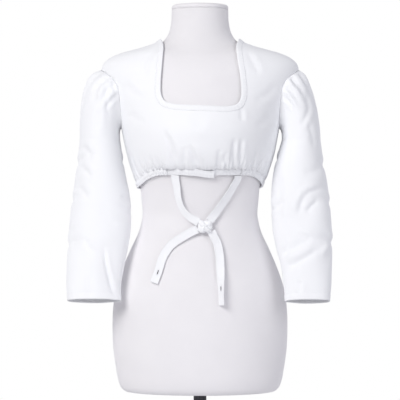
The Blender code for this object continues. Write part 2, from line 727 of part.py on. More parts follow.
def bodice_panel(half):
    """Front or back panel: gathered lower block, then the straps, and the middle too behind."""
    sheet = Sheet()
    columns = 2 * STRAP_COLUMNS + MIDDLE_COLUMNS
    yoke = np.concatenate([half.side_edge([1.0], True), half.side_edge([1.0], False)])
    if half.behind:
        yoke_height = FORM["height"](yoke[0, 1])
        corner_turns, corner_runs = place_on_form(
            np.array([-BACK_YOKE_ACROSS, BACK_YOKE_ACROSS]), np.full(2, yoke_height), True
        )
        corners = np.stack([corner_turns, corner_runs], axis=-1)
    else:
        corners = half.neck(half.corner_lengths)

    def top_edge(steps_each):
        """Yoke line across the whole panel, by way of the neckline in front."""
        strap = strap_shares(steps_each)
        middle = np.linspace(0, 1, MIDDLE_COLUMNS * steps_each + 1)
        if half.behind:
            centre = straight(corners[0], corners[1], middle)
        else:
            centre = half.neck(np.interp(middle, (0, 1), half.corner_lengths))
        return np.concatenate(
            [
                straight(yoke[0], corners[0], strap),
                centre[1:-1],
                straight(corners[1], yoke[1], 1 - strap[::-1]),
            ]
        )

    rows = []
    for shares, split in ((GATHER_ROWS, GATHER_SPLIT), (PUFF_ROWS, PUFF_SPLIT), (CHEST_ROWS, 1)):
        across = np.linspace(0, 1, columns * split + 1)
        shares = np.array(shares)
        grid = patch(
            half.hem_edge(across),
            top_edge(split),
            half.side_edge(shares, True),
            half.side_edge(shares, False),
            across,
            shares,
            EDGE_HOLD,
        )
        rows += add_rows(sheet, grid)
    for low, high in zip(rows, rows[1:]):
        sheet.join(low, high)

    yoke_row = rows[-1]
    up = np.linspace(0, 1, STRAP_ROWS + 1)
    strap = strap_shares()
    neck_runs = []
    for left in (True, False):
        armhole = half.armhole(YOKE_TURN + (1 - YOKE_TURN) * up, left)
        corner = corners[0 if left else 1]
        if half.behind:
            neck_end = half.neck(0.0 if left else half.neck_line.length)
            inner_edge = straight(corner, neck_end, up)
        else:
            start = half.corner_lengths[0 if left else 1]
            end = 0.0 if left else half.neck_line.length
            inner_edge = half.neck(start + (end - start) * up)
        seam_runs = armhole[-1, 1] + (inner_edge[-1, 1] - armhole[-1, 1]) * strap
        seam = np.stack([half.side_turn(left, seam_runs), seam_runs], axis=-1)
        bottom = straight(armhole[0], inner_edge[0], strap)
        grid = patch(bottom, seam, armhole, inner_edge, strap, up)
        if not left:
            grid = grid[:, ::-1]
        first = yoke_row[: STRAP_COLUMNS + 1] if left else yoke_row[-STRAP_COLUMNS - 1 :]
        strap_rows = [first] + add_rows(sheet, grid[1:])
        for low, high in zip(strap_rows, strap_rows[1:]):
            sheet.join(low, high)
        neck_runs.append((inner_edge, [row[-1] if left else row[0] for row in strap_rows]))

    if half.behind:
        middle = np.linspace(0, 1, MIDDLE_COLUMNS + 1)
        neck = half.neck(half.neck_line.length * middle)
        bottom = straight(corners[0], corners[1], middle)
        grid = patch(bottom, neck, neck_runs[0][0], neck_runs[1][0], middle, up)
        low = yoke_row[STRAP_COLUMNS : STRAP_COLUMNS + MIDDLE_COLUMNS + 1]
        for number in range(1, STRAP_ROWS + 1):
            inside = grid[number : number + 1, 1:-1]
            high = [neck_runs[0][1][number]] + add_rows(sheet, inside)[0] + [neck_runs[1][1][number]]
            sheet.join(low, high)
            low = high
    return sheet


def neck_band(half, steps):
    """Strip laid on the panel along the neckline, made from the panel's own points."""
    sheet = Sheet()
    place = half.neck(np.linspace(0, half.neck_line.length, steps + 1))
    turn, run = place[:, 0], place[:, 1]
    by_turn, by_run = form_directions(turn, run)
    onward = unit(np.gradient(on_form(turn, run), axis=0))
    outward = np.cross(onward, form_normal(turn, run)) * (-1.0 if half.behind else 1.0)
    outward[[0, -1], 1] = 0.0
    outward = unit(outward)
    turn_step, run_step = in_directions(outward, by_turn, by_run)
    turn_step[[0, -1]] = 0.0
    grid = np.stack(
        [
            np.stack([turn + turn_step * width, run + run_step * width], axis=-1)
            for width in (0.0, NECK_BAND_WIDTH / 2, NECK_BAND_WIDTH)
        ]
    )
    to_shoulder = np.linspace(-1, 1, steps + 1) ** 2
    out = CLOTH_WALL + NECK_BAND_GAP + (NECK_BAND_SHOULDER_GAP - NECK_BAND_GAP) * to_shoulder
    rows = add_rows(sheet, grid, out, NECK_BAND_WALL)
    for low, high in zip(rows, rows[1:]):
        sheet.join(low, high)
    return sheet


def casing(start, end, lift, wall, bulge, lapped=False):
    """Stretch of the casing between two turns from the front, in degrees, with a rounded outer face.

    A lapped stretch rises over its neighbour towards its end, and droops there.
    """
    sheet = Sheet()
    count = max(2, round((end - start) / CASING_STEP))
    degrees = np.linspace(start, end, count + 1)
    turn = np.radians(90.0 - degrees)
    rise, sink = np.zeros(count + 1), np.zeros(count + 1)
    if lapped:
        rise = eased_between(degrees, *LAP_RISE_TURNS)
        sink = LAP_DROOP * eased_between(degrees, *LAP_DROOP_TURNS)
    lower = HEM_HEIGHT((degrees + 180.0) % 360.0 - 180.0) - sink
    inside = lift + rise * (wall + LAP_GAP)
    rows = []
    for share in (0.0, 0.5, 1.0):
        run = run_at_height(lower + CASING_HEIGHT * share)
        base, normal = on_form(turn, run), form_normal(turn, run)
        out = inside + wall + bulge * math.sin(math.pi * share)
        rows.append(sheet.row(list(base + normal * out[:, None]), list(base + normal * inside[:, None])))
    for low, high in zip(rows, rows[1:]):
        sheet.join(low, high)
    return sheet


def smoothed_round(values):
    """Each value of a closed loop averaged with its near neighbours."""
    for _ in range(LOOP_SMOOTHING):
        values = (np.roll(values, 1, axis=0) + 2 * values + np.roll(values, -1, axis=0)) / 4
    return values


def armhole_loop(front, back, left):
    """Middle of the wall round the armhole, from the underarm by the front to the shoulder and back again.

    With it come the directions out of the cloth and on into the armhole, and the share of the way round.
    """
    below = np.linspace(0, YOKE_TURN, ARMHOLE_ROWS * 2 + 1)
    above = np.linspace(YOKE_TURN, 1, STRAP_ROWS * 2 + 1)
    rising = np.concatenate([below[:-1], above])
    falling = rising[-2:0:-1]
    place = np.concatenate([front.armhole(rising, left), back.armhole(falling, left)])
    middle = off_bodice(place[:, 0], place[:, 1], CLOTH_WALL / 2)
    out = unit(smoothed_round(form_normal(place[:, 0], place[:, 1])))
    ahead = np.roll(middle, -1, axis=0) - np.roll(middle, 1, axis=0)
    onward = unit(smoothed_round(unit(np.cross(out, ahead))))
    facing = np.sign(np.sum(onward * (middle.mean(axis=0) - middle)))
    return middle, out, onward * facing, np.concatenate([rising / 2, 1 - falling / 2])


def fold_depth(folds, around, height, rim):
    """How far the sleeve's large folds push its wall in."""
    total = np.zeros_like(height)
    for row in folds:
        start = np.array([row.turn * rim, row.height])
        line = np.array([row.top_turn * rim, row.top_height]) - start
        place = np.stack(np.broadcast_arrays(around * rim, height), axis=-1) - start
        share = np.clip(place @ line / (line @ line), 0.0, 1.0)
        aside = np.linalg.norm(place - share[..., None] * line, axis=-1)
        total = total + row.depth * np.exp(-((aside / row.width) ** 2)) * (
            FOLD_ENDS + (1 - FOLD_ENDS) * np.sin(math.pi * share)
        )
    return total


def pleat_wave(around):
    """Pleats of the sleeve head: nothing under the arm, then waves up to the shoulder on both halves."""
    from_underarm = 1 - np.abs(1 - 2 * around)
    share = (from_underarm - PLEAT_START) / (1 - PLEAT_START)
    return np.where(share > 0, -np.cos(2 * math.pi * HEAD_PLEATS * share) * eased(share * PLEAT_RISE), 0.0)


def sleeve(front, back, left):
    """Sleeve: pleated head from the armhole seam, then rings down to the open hem."""
    table = LEFT_SLEEVE if left else RIGHT_SLEEVE
    folds = LEFT_FOLDS if left else RIGHT_FOLDS
    side = -1.0 if left else 1.0
    rings = curves_of(table, [row.height for row in table])
    start, out, onward, around = armhole_loop(front, back, left)
    start = start + onward * (SEAM_GAP + CLOTH_WALL / 2)

    def ring(height):
        middle = (rings["outer"](height) + rings["inner"](height)) / 2
        half = (rings["outer"](height) - rings["inner"](height)) / 2
        turn = 2 * math.pi * around
        across = side * (middle - half * np.cos(turn))
        deep = -rings["half_depth"](height) * np.sin(turn)
        return np.stack([across, rings["middle"](height) + deep, height - rings["tip"](height) * deep], axis=-1)

    top = table[-1].height
    first = ring(top)
    reach = np.linalg.norm(first - start, axis=1)[:, None]
    to_shoulder = eased(1 - np.abs(1 - 2 * around))[:, None]
    head_outward = LEFT_HEAD_OUTWARD if left else RIGHT_HEAD_OUTWARD
    outward = UNDERARM_OUTWARD + (head_outward - UNDERARM_OUTWARD) * to_shoulder
    leave = (outward * out + HEAD_ONWARD * onward) * reach
    arrive = np.array([0.0, 0.0, -SLEEVE_DROP]) * reach
    shares = (0.0,) + HEAD_SHARES + SHOULDER_SHARES
    loops = [hermite(share, start, leave, first, arrive) for share in shares]
    loops += [ring(height) for height in np.linspace(top, table[0].height, SLEEVE_RINGS)]
    loops = np.array(loops)

    along = np.gradient(loops, axis=0)
    ahead = np.roll(loops, -1, axis=1) - np.roll(loops, 1, axis=1)
    normal = unit(np.cross(ahead, along)) * (-side)
    pleated = len(PLEAT_SHARES)
    push = np.zeros(loops.shape[:2])
    push[:pleated] = PLEAT_DEPTH * np.outer(PLEAT_SHARES, pleat_wave(around))
    rim_ring = table[SLEEVE_RIM_ROW]
    rim = math.pi * (rim_ring.outer - rim_ring.inner) / 2
    below_head = np.arange(len(loops)) > pleated
    push[below_head] -= fold_depth(folds, around, loops[below_head][..., 2], rim)
    middle = loops + normal * push[..., None]
    sheet = Sheet()
    rows = []
    for number, (centre, direction) in enumerate(zip(middle, normal)):
        step = 1 if 0 < number < pleated else 2
        offset = direction[::step] * CLOTH_WALL / 2
        rows.append(sheet.row(list(centre[::step] + offset), list(centre[::step] - offset), closed=True))
    for low, high in zip(rows, rows[1:]):
        sheet.join(low, high)
    return sheet


def knot_middle():
    turn, run = place_on_form(*KNOT_PLACE)
    return on_form(turn, run) + form_normal(turn, run) * KNOT_CLEAR


def knot_swell(directions):
    """How far the knot reaches in each direction, as a share of its half size."""
    across, up = directions[..., 0], directions[..., 2]
    length = np.linalg.norm(directions, axis=-1)
    along = (across * math.cos(KNOT_WRAP_SLANT) + up * math.sin(KNOT_WRAP_SLANT)) / length
    from_groove = (np.abs(along) - KNOT_WRAP_HALF_WIDTH) / KNOT_GROOVE_WIDTH
    square = KNOT_SQUARENESS * np.cos(4 * np.arctan2(up, across))
    return 1 - square - KNOT_GROOVE_DEPTH * np.exp(-(from_groove**2))


def tie(points):
    """Flat cloth tie over the form's front, each end cut square."""
    places = np.array([(row.across, row.height) for row in points])
    length = run_length(places)
    curves = curves_of(points, length)

    def lines(stations):
        """Lines of three points across the tie, and the directions out of it."""
        turn, run = place_on_form(curves["across"](stations), curves["height"](stations))
        normal = form_normal(turn, run)
        middle = on_form(turn, run) + normal * curves["clear"](stations)[:, None]
        onward = unit(np.gradient(middle, axis=0))
        sideways = unit(np.cross(onward, normal))
        normal = unit(np.cross(sideways, onward))
        angle = np.radians(curves["turn"](stations))[:, None]
        across = sideways * np.cos(angle) + normal * np.sin(angle)
        out = normal * np.cos(angle) - sideways * np.sin(angle)
        half_widths = TIE_WIDTH * np.array([-0.5, 0.0, 0.5])
        return middle[:, None] + across[:, None] * half_widths[:, None], out

    fine = np.linspace(0, length[-1], TIE_SAMPLES)
    from_knot = (lines(fine)[0] - knot_middle()) / (np.array(KNOT_HALF_SIZE) + TIE_WALL / 2 + SEAM_GAP)
    free = fine[(np.linalg.norm(from_knot, axis=-1) > knot_swell(from_knot)).all(axis=1)]
    stations = np.linspace(free[0], free[-1], max(4, round((free[-1] - free[0]) / TIE_STEP)) + 1)
    sheet = Sheet()
    rows = []
    for line, thick in zip(*lines(stations)):
        rows.append(sheet.row(list(line + thick * TIE_WALL / 2), list(line - thick * TIE_WALL / 2)))
    for low, high in zip(rows, rows[1:]):
        sheet.join(low, high)
    return sheet


def finish_of(name, finish):
    """Principled material with the finish's colour, roughness and metal share."""
    material = bpy.data.materials.new(name)
    material.use_nodes = True
    shader = material.node_tree.nodes["Principled BSDF"]
    shader.inputs["Base Color"].default_value = (*finish.colour, 1.0)
    shader.inputs["Roughness"].default_value = finish.roughness
    shader.inputs["Metallic"].default_value = finish.metal
    return material


def add_mesh(name, mesh, origin, parent, finish):
    """Object at its own origin, smooth but for its sharp edges."""
    mesh.shade_smooth()
    mesh.set_sharp_from_angle(angle=math.radians(50))
    mesh.materials.append(finish_of(name, finish))
    piece = bpy.data.objects.new(name, mesh)
    piece.location = origin
    piece.parent = parent
    bpy.context.collection.objects.link(piece)
    return piece


def add_sheet(name, sheet, parent, finish):
    """Cloth piece from its wall, with its origin in the middle of its points."""
    points, faces = sheet.solid()
    origin = points.mean(axis=0)
    mesh = bpy.data.meshes.new(name)
    mesh.from_pydata([tuple(point) for point in points - origin], [], faces)
    return add_mesh(name, mesh, Vector(origin), parent, finish)


def add_bmesh(name, made, origin, parent, finish):
    bmesh.ops.recalc_face_normals(made, faces=made.faces)
    mesh = bpy.data.meshes.new(name)
    made.to_mesh(mesh)
    made.free()
    return add_mesh(name, mesh, origin, parent, finish)


def stack_of_rings(rings):
    """Closed body through rings of points, with flat ends."""
    made = bmesh.new()
    rows = [[made.verts.new(point) for point in ring] for ring in rings]
    for low, high in zip(rows, rows[1:]):
        for number in range(len(low)):
            after = (number + 1) % len(low)
            made.faces.new((low[number], low[after], high[after], high[number]))
    made.faces.new(rows[0][::-1])
    made.faces.new(rows[-1])
    return made


def form_ring(section, height, share=1.0):
    """Ring of points of one section of the form, drawn in by a share."""
    ring = []
    for number in range(FORM_SIDES):
        turn = 2 * math.pi * number / FORM_SIDES
        depth = section.front if math.sin(turn) >= 0 else section.back
        ring.append(
            (share * section.half_width * math.cos(turn), -share * depth * math.sin(turn), height)
        )
    return ring


def add_form(parent):
    body = stack_of_rings([form_ring(row, row.height) for row in FORM_SECTIONS])
    add_bmesh("form_body", body, Vector(), parent, JERSEY)
    neck = FORM_SECTIONS[-1]
    base = neck.height + CAP_GAP
    cap = stack_of_rings([form_ring(neck, row.rise, row.share) for row in CAP_SECTIONS])
    add_bmesh("form_neck_cap", cap, Vector((0, 0, base)), parent, CAP_COVER)


def turned(profile, sides):
    """Body turned about the vertical through points of (radius, height), from the axis back to it."""
    made = bmesh.new()
    points = [made.verts.new((radius, 0.0, height)) for radius, height in profile]
    edges = [made.edges.new(pair) for pair in zip(points, points[1:])]
    bmesh.ops.spin(
        made,
        geom=points + edges,
        cent=(0, 0, 0),
        axis=(0, 0, 1),
        angle=2 * math.pi,
        steps=sides,
        use_merge=True,
    )
    bmesh.ops.remove_doubles(made, verts=made.verts, dist=1e-6)
    return made


def rounded_disc(radius, height):
    """Profile of a disc whose rim is bevelled above and below."""
    return [
        (0.0, 0.0),
        (radius - FOOT_EDGE, 0.0),
        (radius, FOOT_EDGE),
        (radius, height - FOOT_EDGE),
        (radius - FOOT_EDGE, height),
        (0.0, height),
    ]


def add_stand(parent):
    """Round foot, the collar on it and the pole up to the form, each resting on the one below."""
    foot = turned(rounded_disc(FOOT_RADIUS, FOOT_THICKNESS), FOOT_SIDES)
    add_bmesh("stand_foot", foot, Vector(), parent, FOOT_PAINT)
    collar_low = FOOT_THICKNESS + CAP_GAP
    collar = turned(rounded_disc(COLLAR_RADIUS, COLLAR_HEIGHT), COLLAR_SIDES)
    add_bmesh("stand_collar", collar, Vector((0, 0, collar_low)), parent, FOOT_PAINT)
    pole_low = collar_low + COLLAR_HEIGHT + CAP_GAP
    length = FORM_BOTTOM - CAP_GAP - pole_low
    pole = [(0.0, 0.0), (POLE_RADIUS, 0.0), (POLE_RADIUS, length), (0.0, length)]
    add_bmesh("stand_pole", turned(pole, POLE_SIDES), Vector((0, 0, pole_low)), parent, POLE_STEEL)


def add_knot(parent):
    """The knot: a rounded lump, grooved along both edges of the slanted wrap across it."""
    made = bmesh.new()
    bmesh.ops.create_uvsphere(made, u_segments=KNOT_ROUND, v_segments=KNOT_RINGS, radius=1.0)
    directions = np.array([point.co for point in made.verts])
    places = directions * knot_swell(directions)[:, None] * KNOT_HALF_SIZE
    for point, place in zip(made.verts, places):
        point.co = place
    add_bmesh("tie_knot", made, Vector(knot_middle()), parent, TAPE)


def add_blouse(parent):
    front, back = Half(False), Half(True)
    add_sheet("bodice_front", bodice_panel(front), parent, COTTON)
    add_sheet("bodice_back", bodice_panel(back), parent, COTTON)
    add_sheet("neckline_band_front", neck_band(front, FRONT_BAND_STEPS), parent, COTTON)
    add_sheet("neckline_band_back", neck_band(back, BACK_BAND_STEPS), parent, COTTON)
    add_sheet("sleeve_left", sleeve(front, back, True), parent, COTTON)
    add_sheet("sleeve_right", sleeve(front, back, False), parent, COTTON)
    gap = math.degrees(SEAM_GAP / FORM["front"](run_at_height(HEM_HEIGHT(0.0))))
    add_sheet(
        "hem_band_front_left",
        casing(*FRONT_CASING_TURNS, FLAT_CASING_LIFT, FLAT_CASING_WALL, 0.0, lapped=True),
        parent,
        COTTON,
    )
    add_sheet(
        "hem_band_front_right",
        casing(*LAPPED_CASING_TURNS, FLAT_CASING_LIFT, FLAT_CASING_WALL, 0.0),
        parent,
        COTTON,
    )
    add_sheet(
        "hem_band_back",
        casing(
            LAPPED_CASING_TURNS[1] + gap,
            FRONT_CASING_TURNS[0] + 360.0 - gap,
            CASING_LIFT,
            CASING_WALL,
            CASING_BULGE,
        ),
        parent,
        COTTON,
    )
    for name, points in TIES.items():
        add_sheet(name, tie(points), parent, TAPE)
    add_knot(parent)


def main():
    for thing in list(bpy.data.objects):
        bpy.data.objects.remove(thing, do_unlink=True)
    groups = []
    for name in ("blouse", "dress_form"):
        group = bpy.data.objects.new(name, None)
        bpy.context.collection.objects.link(group)
        groups.append(group)
    blouse, form = groups
    add_form(form)
    add_stand(form)
    add_blouse(blouse)


main()
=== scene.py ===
"""Looks of a cropped white dirndl blouse on a limbless dress form, in metres.

The cloth repeats the form of the solids on a finer grid, with creases, seams, stitches and worked
buttonholes. The front faces -Y, and the sleeve on the left as seen from there is at -X.
"""

import math
from collections import namedtuple

import bmesh
import bpy
import numpy as np
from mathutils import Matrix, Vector
from mathutils.kdtree import KDTree


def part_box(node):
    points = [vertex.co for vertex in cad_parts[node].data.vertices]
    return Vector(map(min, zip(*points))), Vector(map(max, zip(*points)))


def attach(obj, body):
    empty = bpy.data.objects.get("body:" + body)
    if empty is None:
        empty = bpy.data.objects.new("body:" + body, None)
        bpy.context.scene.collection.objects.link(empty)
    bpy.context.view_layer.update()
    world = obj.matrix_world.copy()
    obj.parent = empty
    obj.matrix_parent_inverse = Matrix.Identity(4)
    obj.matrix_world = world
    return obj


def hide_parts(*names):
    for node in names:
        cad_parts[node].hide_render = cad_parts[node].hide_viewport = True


bl_info = {
    "name": "Dirndl Blouse on a Dress Form",
    "version": (1, 0, 0),
    "blender": (4, 5, 0),
    "location": "3D View > Sidebar > Blouse",
    "description": "Builds the cloth, form, stand and studio of a cropped dirndl blouse",
    "category": "Object",
}

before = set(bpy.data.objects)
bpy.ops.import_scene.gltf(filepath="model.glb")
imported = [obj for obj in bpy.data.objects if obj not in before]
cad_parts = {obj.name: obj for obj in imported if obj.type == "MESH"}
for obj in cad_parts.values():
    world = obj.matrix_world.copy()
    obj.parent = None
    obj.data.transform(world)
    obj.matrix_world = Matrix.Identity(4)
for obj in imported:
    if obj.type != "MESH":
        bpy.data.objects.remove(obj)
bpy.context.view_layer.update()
FOOT_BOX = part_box("stand_foot")
POLE_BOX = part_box("stand_pole")


# Sizes shared with the solids

# Driving dimensions
CLOTH_WALL = 0.0016
LINE_SAMPLES = 400
RUN_SAMPLES = 2000
SEAM_GAP = 0.0003
CAP_GAP = 0.0003
FOOT_EDGE = 0.004

# Dress form, from its underside up: half width, and depth in front of and behind the middle
FormSection = namedtuple("FormSection", "height half_width front back")
FORM_SECTIONS = tuple(
    FormSection(*row)
    for row in (
        (0.1995, 0.136, 0.084, 0.092),
        (0.2015, 0.146, 0.091, 0.100),
        (0.2080, 0.1535, 0.097, 0.107),
        (0.2200, 0.1585, 0.101, 0.112),
        (0.2450, 0.1635, 0.104, 0.117),
        (0.2800, 0.1685, 0.106, 0.121),
        (0.3200, 0.1705, 0.106, 0.122),
        (0.3600, 0.1695, 0.104, 0.120),
        (0.3980, 0.1645, 0.101, 0.114),
        (0.4370, 0.1520, 0.096, 0.105),
        (0.4760, 0.1355, 0.090, 0.096),
        (0.5150, 0.1180, 0.084, 0.089),
        (0.5450, 0.1120, 0.080, 0.086),
        (0.5730, 0.1140, 0.082, 0.088),
        (0.6020, 0.1170, 0.088, 0.093),
        (0.6250, 0.1230, 0.096, 0.099),
        (0.6500, 0.1310, 0.109, 0.104),
        (0.6800, 0.1390, 0.122, 0.108),
        (0.7050, 0.1445, 0.127, 0.110),
        (0.7350, 0.1510, 0.121, 0.111),
        (0.7650, 0.1610, 0.109, 0.110),
        (0.7900, 0.1730, 0.098, 0.107),
        (0.8080, 0.1820, 0.091, 0.102),
        (0.8220, 0.1860, 0.085, 0.096),
        (0.8330, 0.1840, 0.079, 0.090),
        (0.8430, 0.1740, 0.073, 0.084),
        (0.8515, 0.1560, 0.069, 0.080),
        (0.8590, 0.1300, 0.065, 0.076),
        (0.8660, 0.1050, 0.062, 0.072),
        (0.8740, 0.0840, 0.059, 0.068),
        (0.8840, 0.0700, 0.0565, 0.063),
        (0.8980, 0.0610, 0.0545, 0.058),
        (0.9160, 0.0565, 0.0535, 0.0555),
        (0.9440, 0.0550, 0.0530, 0.0550),
    )
)
CapSection = namedtuple("CapSection", "rise share")
CAP_SECTIONS = tuple(
    CapSection(*row)
    for row in ((0.0, 0.985), (0.0012, 1.0), (0.0045, 1.0), (0.0068, 0.975), (0.0084, 0.92), (0.0090, 0.84))
)

# How far the inside of the bodice stands off the form, at the front, the two sides and the back
Lift = namedtuple("Lift", "height front left right back")
BODICE_LIFTS = tuple(
    Lift(*row)
    for row in (
        (0.590, 0.0046, 0.0046, 0.0048, 0.0046),
        (0.622, 0.0048, 0.0054, 0.0062, 0.0056),
        (0.642, 0.0085, 0.0066, 0.0080, 0.0078),
        (0.662, 0.0095, 0.0066, 0.0088, 0.0080),
        (0.690, 0.0065, 0.0060, 0.0078, 0.0070),
        (0.715, 0.0045, 0.0058, 0.0070, 0.0060),
        (0.760, 0.0042, 0.0055, 0.0060, 0.0050),
        (0.830, 0.0040, 0.0050, 0.0055, 0.0042),
        (0.900, 0.0040, 0.0050, 0.0055, 0.0040),
    )
)

# Lower edge of the casing under the bust, by the turn from the middle of the front, in degrees
HemPoint = namedtuple("HemPoint", "turn height")
HEM_EDGE = tuple(
    HemPoint(*row)
    for row in (
        (-180.0, 0.5940),
        (-120.0, 0.5945),
        (-90.0, 0.5970),
        (-66.0, 0.6050),
        (-53.0, 0.6145),
        (-38.0, 0.6215),
        (-20.0, 0.6218),
        (0.0, 0.6210),
        (25.0, 0.6215),
        (53.0, 0.6200),
        (67.0, 0.6120),
        (78.0, 0.6050),
        (90.0, 0.6005),
        (120.0, 0.5945),
        (180.0, 0.5940),
    )
)
CASING_HEIGHT = 0.0143
CASING_WALL = 0.0032
CASING_LIFT = 0.0024
CASING_BULGE = 0.0009
FLAT_CASING_WALL = 0.0020
FLAT_CASING_LIFT = 0.0028
FRONT_CASING_TURNS = (-29.0, 12.5)
LAPPED_CASING_TURNS = (-7.0, 38.0)
LAP_RISE_TURNS = (-16.0, -8.5)
LAP_DROOP = 0.0042
LAP_DROOP_TURNS = (-6.0, 9.0)
LAP_GAP = 0.0006

# Armhole seam from the underarm to the shoulder: degrees towards the front and the back from the side
ArmholePoint = namedtuple("ArmholePoint", "height front back")
ARMHOLE = tuple(
    ArmholePoint(*row)
    for row in (
        (0.7140, 0.0, 0.0),
        (0.7172, 5.0, 4.5),
        (0.7235, 9.5, 9.0),
        (0.7340, 13.5, 13.0),
        (0.7480, 17.0, 16.0),
        (0.7640, 21.0, 19.5),
        (0.7820, 25.5, 23.0),
        (0.8000, 27.0, 24.0),
        (0.8125, 22.5, 20.5),
        (0.8205, 13.5, 12.5),
        (0.8250, 0.0, 0.0),
    )
)

# Front neckline, from the left shoulder to the right one, and the lower back one: across and up
NeckPoint = namedtuple("NeckPoint", "across height")
FRONT_NECK = tuple(
    NeckPoint(*row)
    for row in (
        (-0.0700, 0.8680),
        (-0.0715, 0.8450),
        (-0.0735, 0.8150),
        (-0.0745, 0.7900),
        (-0.0730, 0.7720),
        (-0.0660, 0.7590),
        (-0.0520, 0.7530),
        (-0.0300, 0.7505),
        (0.0000, 0.7490),
        (0.0300, 0.7480),
        (0.0560, 0.7485),
        (0.0710, 0.7545),
        (0.0770, 0.7670),
        (0.0780, 0.7850),
        (0.0765, 0.8080),
        (0.0720, 0.8400),
        (0.0695, 0.8670),
    )
)
FRONT_NECK_CORNERS = (-0.0660, 0.0710)
BACK_NECK = tuple(
    NeckPoint(*row)
    for row in (
        (-0.0680, 0.8640),
        (-0.0540, 0.8480),
        (-0.0300, 0.8390),
        (0.0000, 0.8360),
        (0.0300, 0.8390),
        (0.0540, 0.8480),
        (0.0680, 0.8640),
    )
)
NECK_HALF_WIDTH = 0.0725
NECK_CORNER_RISE = 0.020
BACK_YOKE_ACROSS = 0.060

# Grid of the bodice panels: columns across each strap and the middle, and rows as shares of the height
STRAP_SHARES = (0.0, 0.21, 0.42, 0.61, 0.78, 0.92, 1.0)
STRAP_COLUMNS = len(STRAP_SHARES) - 1
MIDDLE_COLUMNS = 12
UNDERARM_SHARE = 0.74
YOKE_TURN = 0.30
EDGE_HOLD = 3

# Gathers in the front, as troughs: turn at the casing and at their top in degrees, length, depth and width
Gather = namedtuple("Gather", "turn top_turn length depth width")
FRONT_GATHERS = tuple(
    Gather(*row)
    for row in (
        (-84.0, -85.0, 0.040, 0.0028, 2.6),
        (-75.0, -78.0, 0.048, 0.0031, 2.8),
        (-66.0, -70.0, 0.055, 0.0037, 2.8),
        (-55.5, -60.0, 0.050, 0.0034, 2.6),
        (-47.0, -51.0, 0.045, 0.0034, 2.4),
        (-40.5, -44.0, 0.038, 0.0031, 2.2),
        (-34.5, -38.0, 0.032, 0.0028, 2.0),
        (-19.5, -28.5, 0.082, 0.0040, 2.4),
        (-12.5, -14.0, 0.034, 0.0025, 2.2),
        (-1.5, -10.0, 0.046, 0.0034, 3.2),
        (14.5, 20.0, 0.040, 0.0034, 2.8),
        (21.5, 23.0, 0.036, 0.0028, 2.2),
        (28.5, 26.0, 0.060, 0.0034, 2.4),
        (34.8, 32.0, 0.060, 0.0034, 2.4),
        (46.5, 49.0, 0.046, 0.0034, 2.6),
        (54.0, 58.0, 0.050, 0.0034, 2.6),
        (62.5, 66.0, 0.050, 0.0034, 2.8),
        (73.0, 76.0, 0.046, 0.0031, 2.8),
        (83.5, 85.0, 0.040, 0.0028, 2.6),
    )
)
BACK_GATHERS = 24
BACK_GATHER_DEPTH = 0.0030
BACK_GATHER_LENGTH = 0.045
BACK_GATHER_WIDTH = 2.6
BACK_GATHER_UNEVEN = 0.30
BACK_GATHER_SHIFT = 1.2
BACK_GATHER_LEAN = 2.2
GATHER_CREST = 0.0016

# Sleeves, by height: where their outer and inner outlines lie across, the middle's place front to back,
# half the depth, and how far the ring tips, its front edge up
SleeveRing = namedtuple("SleeveRing", "height outer inner middle half_depth tip")
LEFT_SLEEVE = tuple(
    SleeveRing(*row)
    for row in (
        (0.3800, 0.2540, 0.1525, -0.0740, 0.0255, 0.20),
        (0.4100, 0.2560, 0.1520, -0.0670, 0.0280, 0.17),
        (0.4460, 0.2555, 0.1460, -0.0570, 0.0320, 0.14),
        (0.4810, 0.2545, 0.1390, -0.0470, 0.0350, 0.12),
        (0.5110, 0.2530, 0.1345, -0.0390, 0.0380, 0.10),
        (0.5460, 0.2500, 0.1335, -0.0300, 0.0420, 0.08),
        (0.5810, 0.2465, 0.1365, -0.0220, 0.0460, 0.06),
        (0.6120, 0.2425, 0.1430, -0.0160, 0.0490, 0.04),
        (0.6410, 0.2390, 0.1485, -0.0110, 0.0510, 0.03),
        (0.6700, 0.2355, 0.1530, -0.0070, 0.0520, 0.01),
        (0.6900, 0.2335, 0.1560, -0.0050, 0.0520, 0.0),
    )
)
RIGHT_SLEEVE = tuple(
    SleeveRing(*row)
    for row in (
        (0.3790, 0.2490, 0.1640, -0.0740, 0.0255, 0.20),
        (0.4100, 0.2515, 0.1610, -0.0670, 0.0275, 0.17),
        (0.4460, 0.2530, 0.1560, -0.0570, 0.0310, 0.14),
        (0.4770, 0.2550, 0.1480, -0.0480, 0.0350, 0.12),
        (0.5060, 0.2545, 0.1420, -0.0400, 0.0380, 0.10),
        (0.5400, 0.2528, 0.1392, -0.0310, 0.0420, 0.08),
        (0.5780, 0.2500, 0.1385, -0.0230, 0.0460, 0.06),
        (0.6120, 0.2456, 0.1410, -0.0160, 0.0490, 0.04),
        (0.6430, 0.2395, 0.1465, -0.0110, 0.0510, 0.03),
        (0.6700, 0.2365, 0.1540, -0.0070, 0.0520, 0.01),
        (0.6900, 0.2340, 0.1600, -0.0050, 0.0520, 0.0),
    )
)
UNDERARM_OUTWARD = 0.75
LEFT_HEAD_OUTWARD = 0.90
RIGHT_HEAD_OUTWARD = 0.45
HEAD_ONWARD = 0.12
SLEEVE_DROP = 1.0
HEAD_PLEATS = 5
PLEAT_START = 0.36
PLEAT_RISE = 4.0
PLEAT_DEPTH = 0.0027
FOLD_ENDS = 0.55
SLEEVE_RIM_ROW = 5

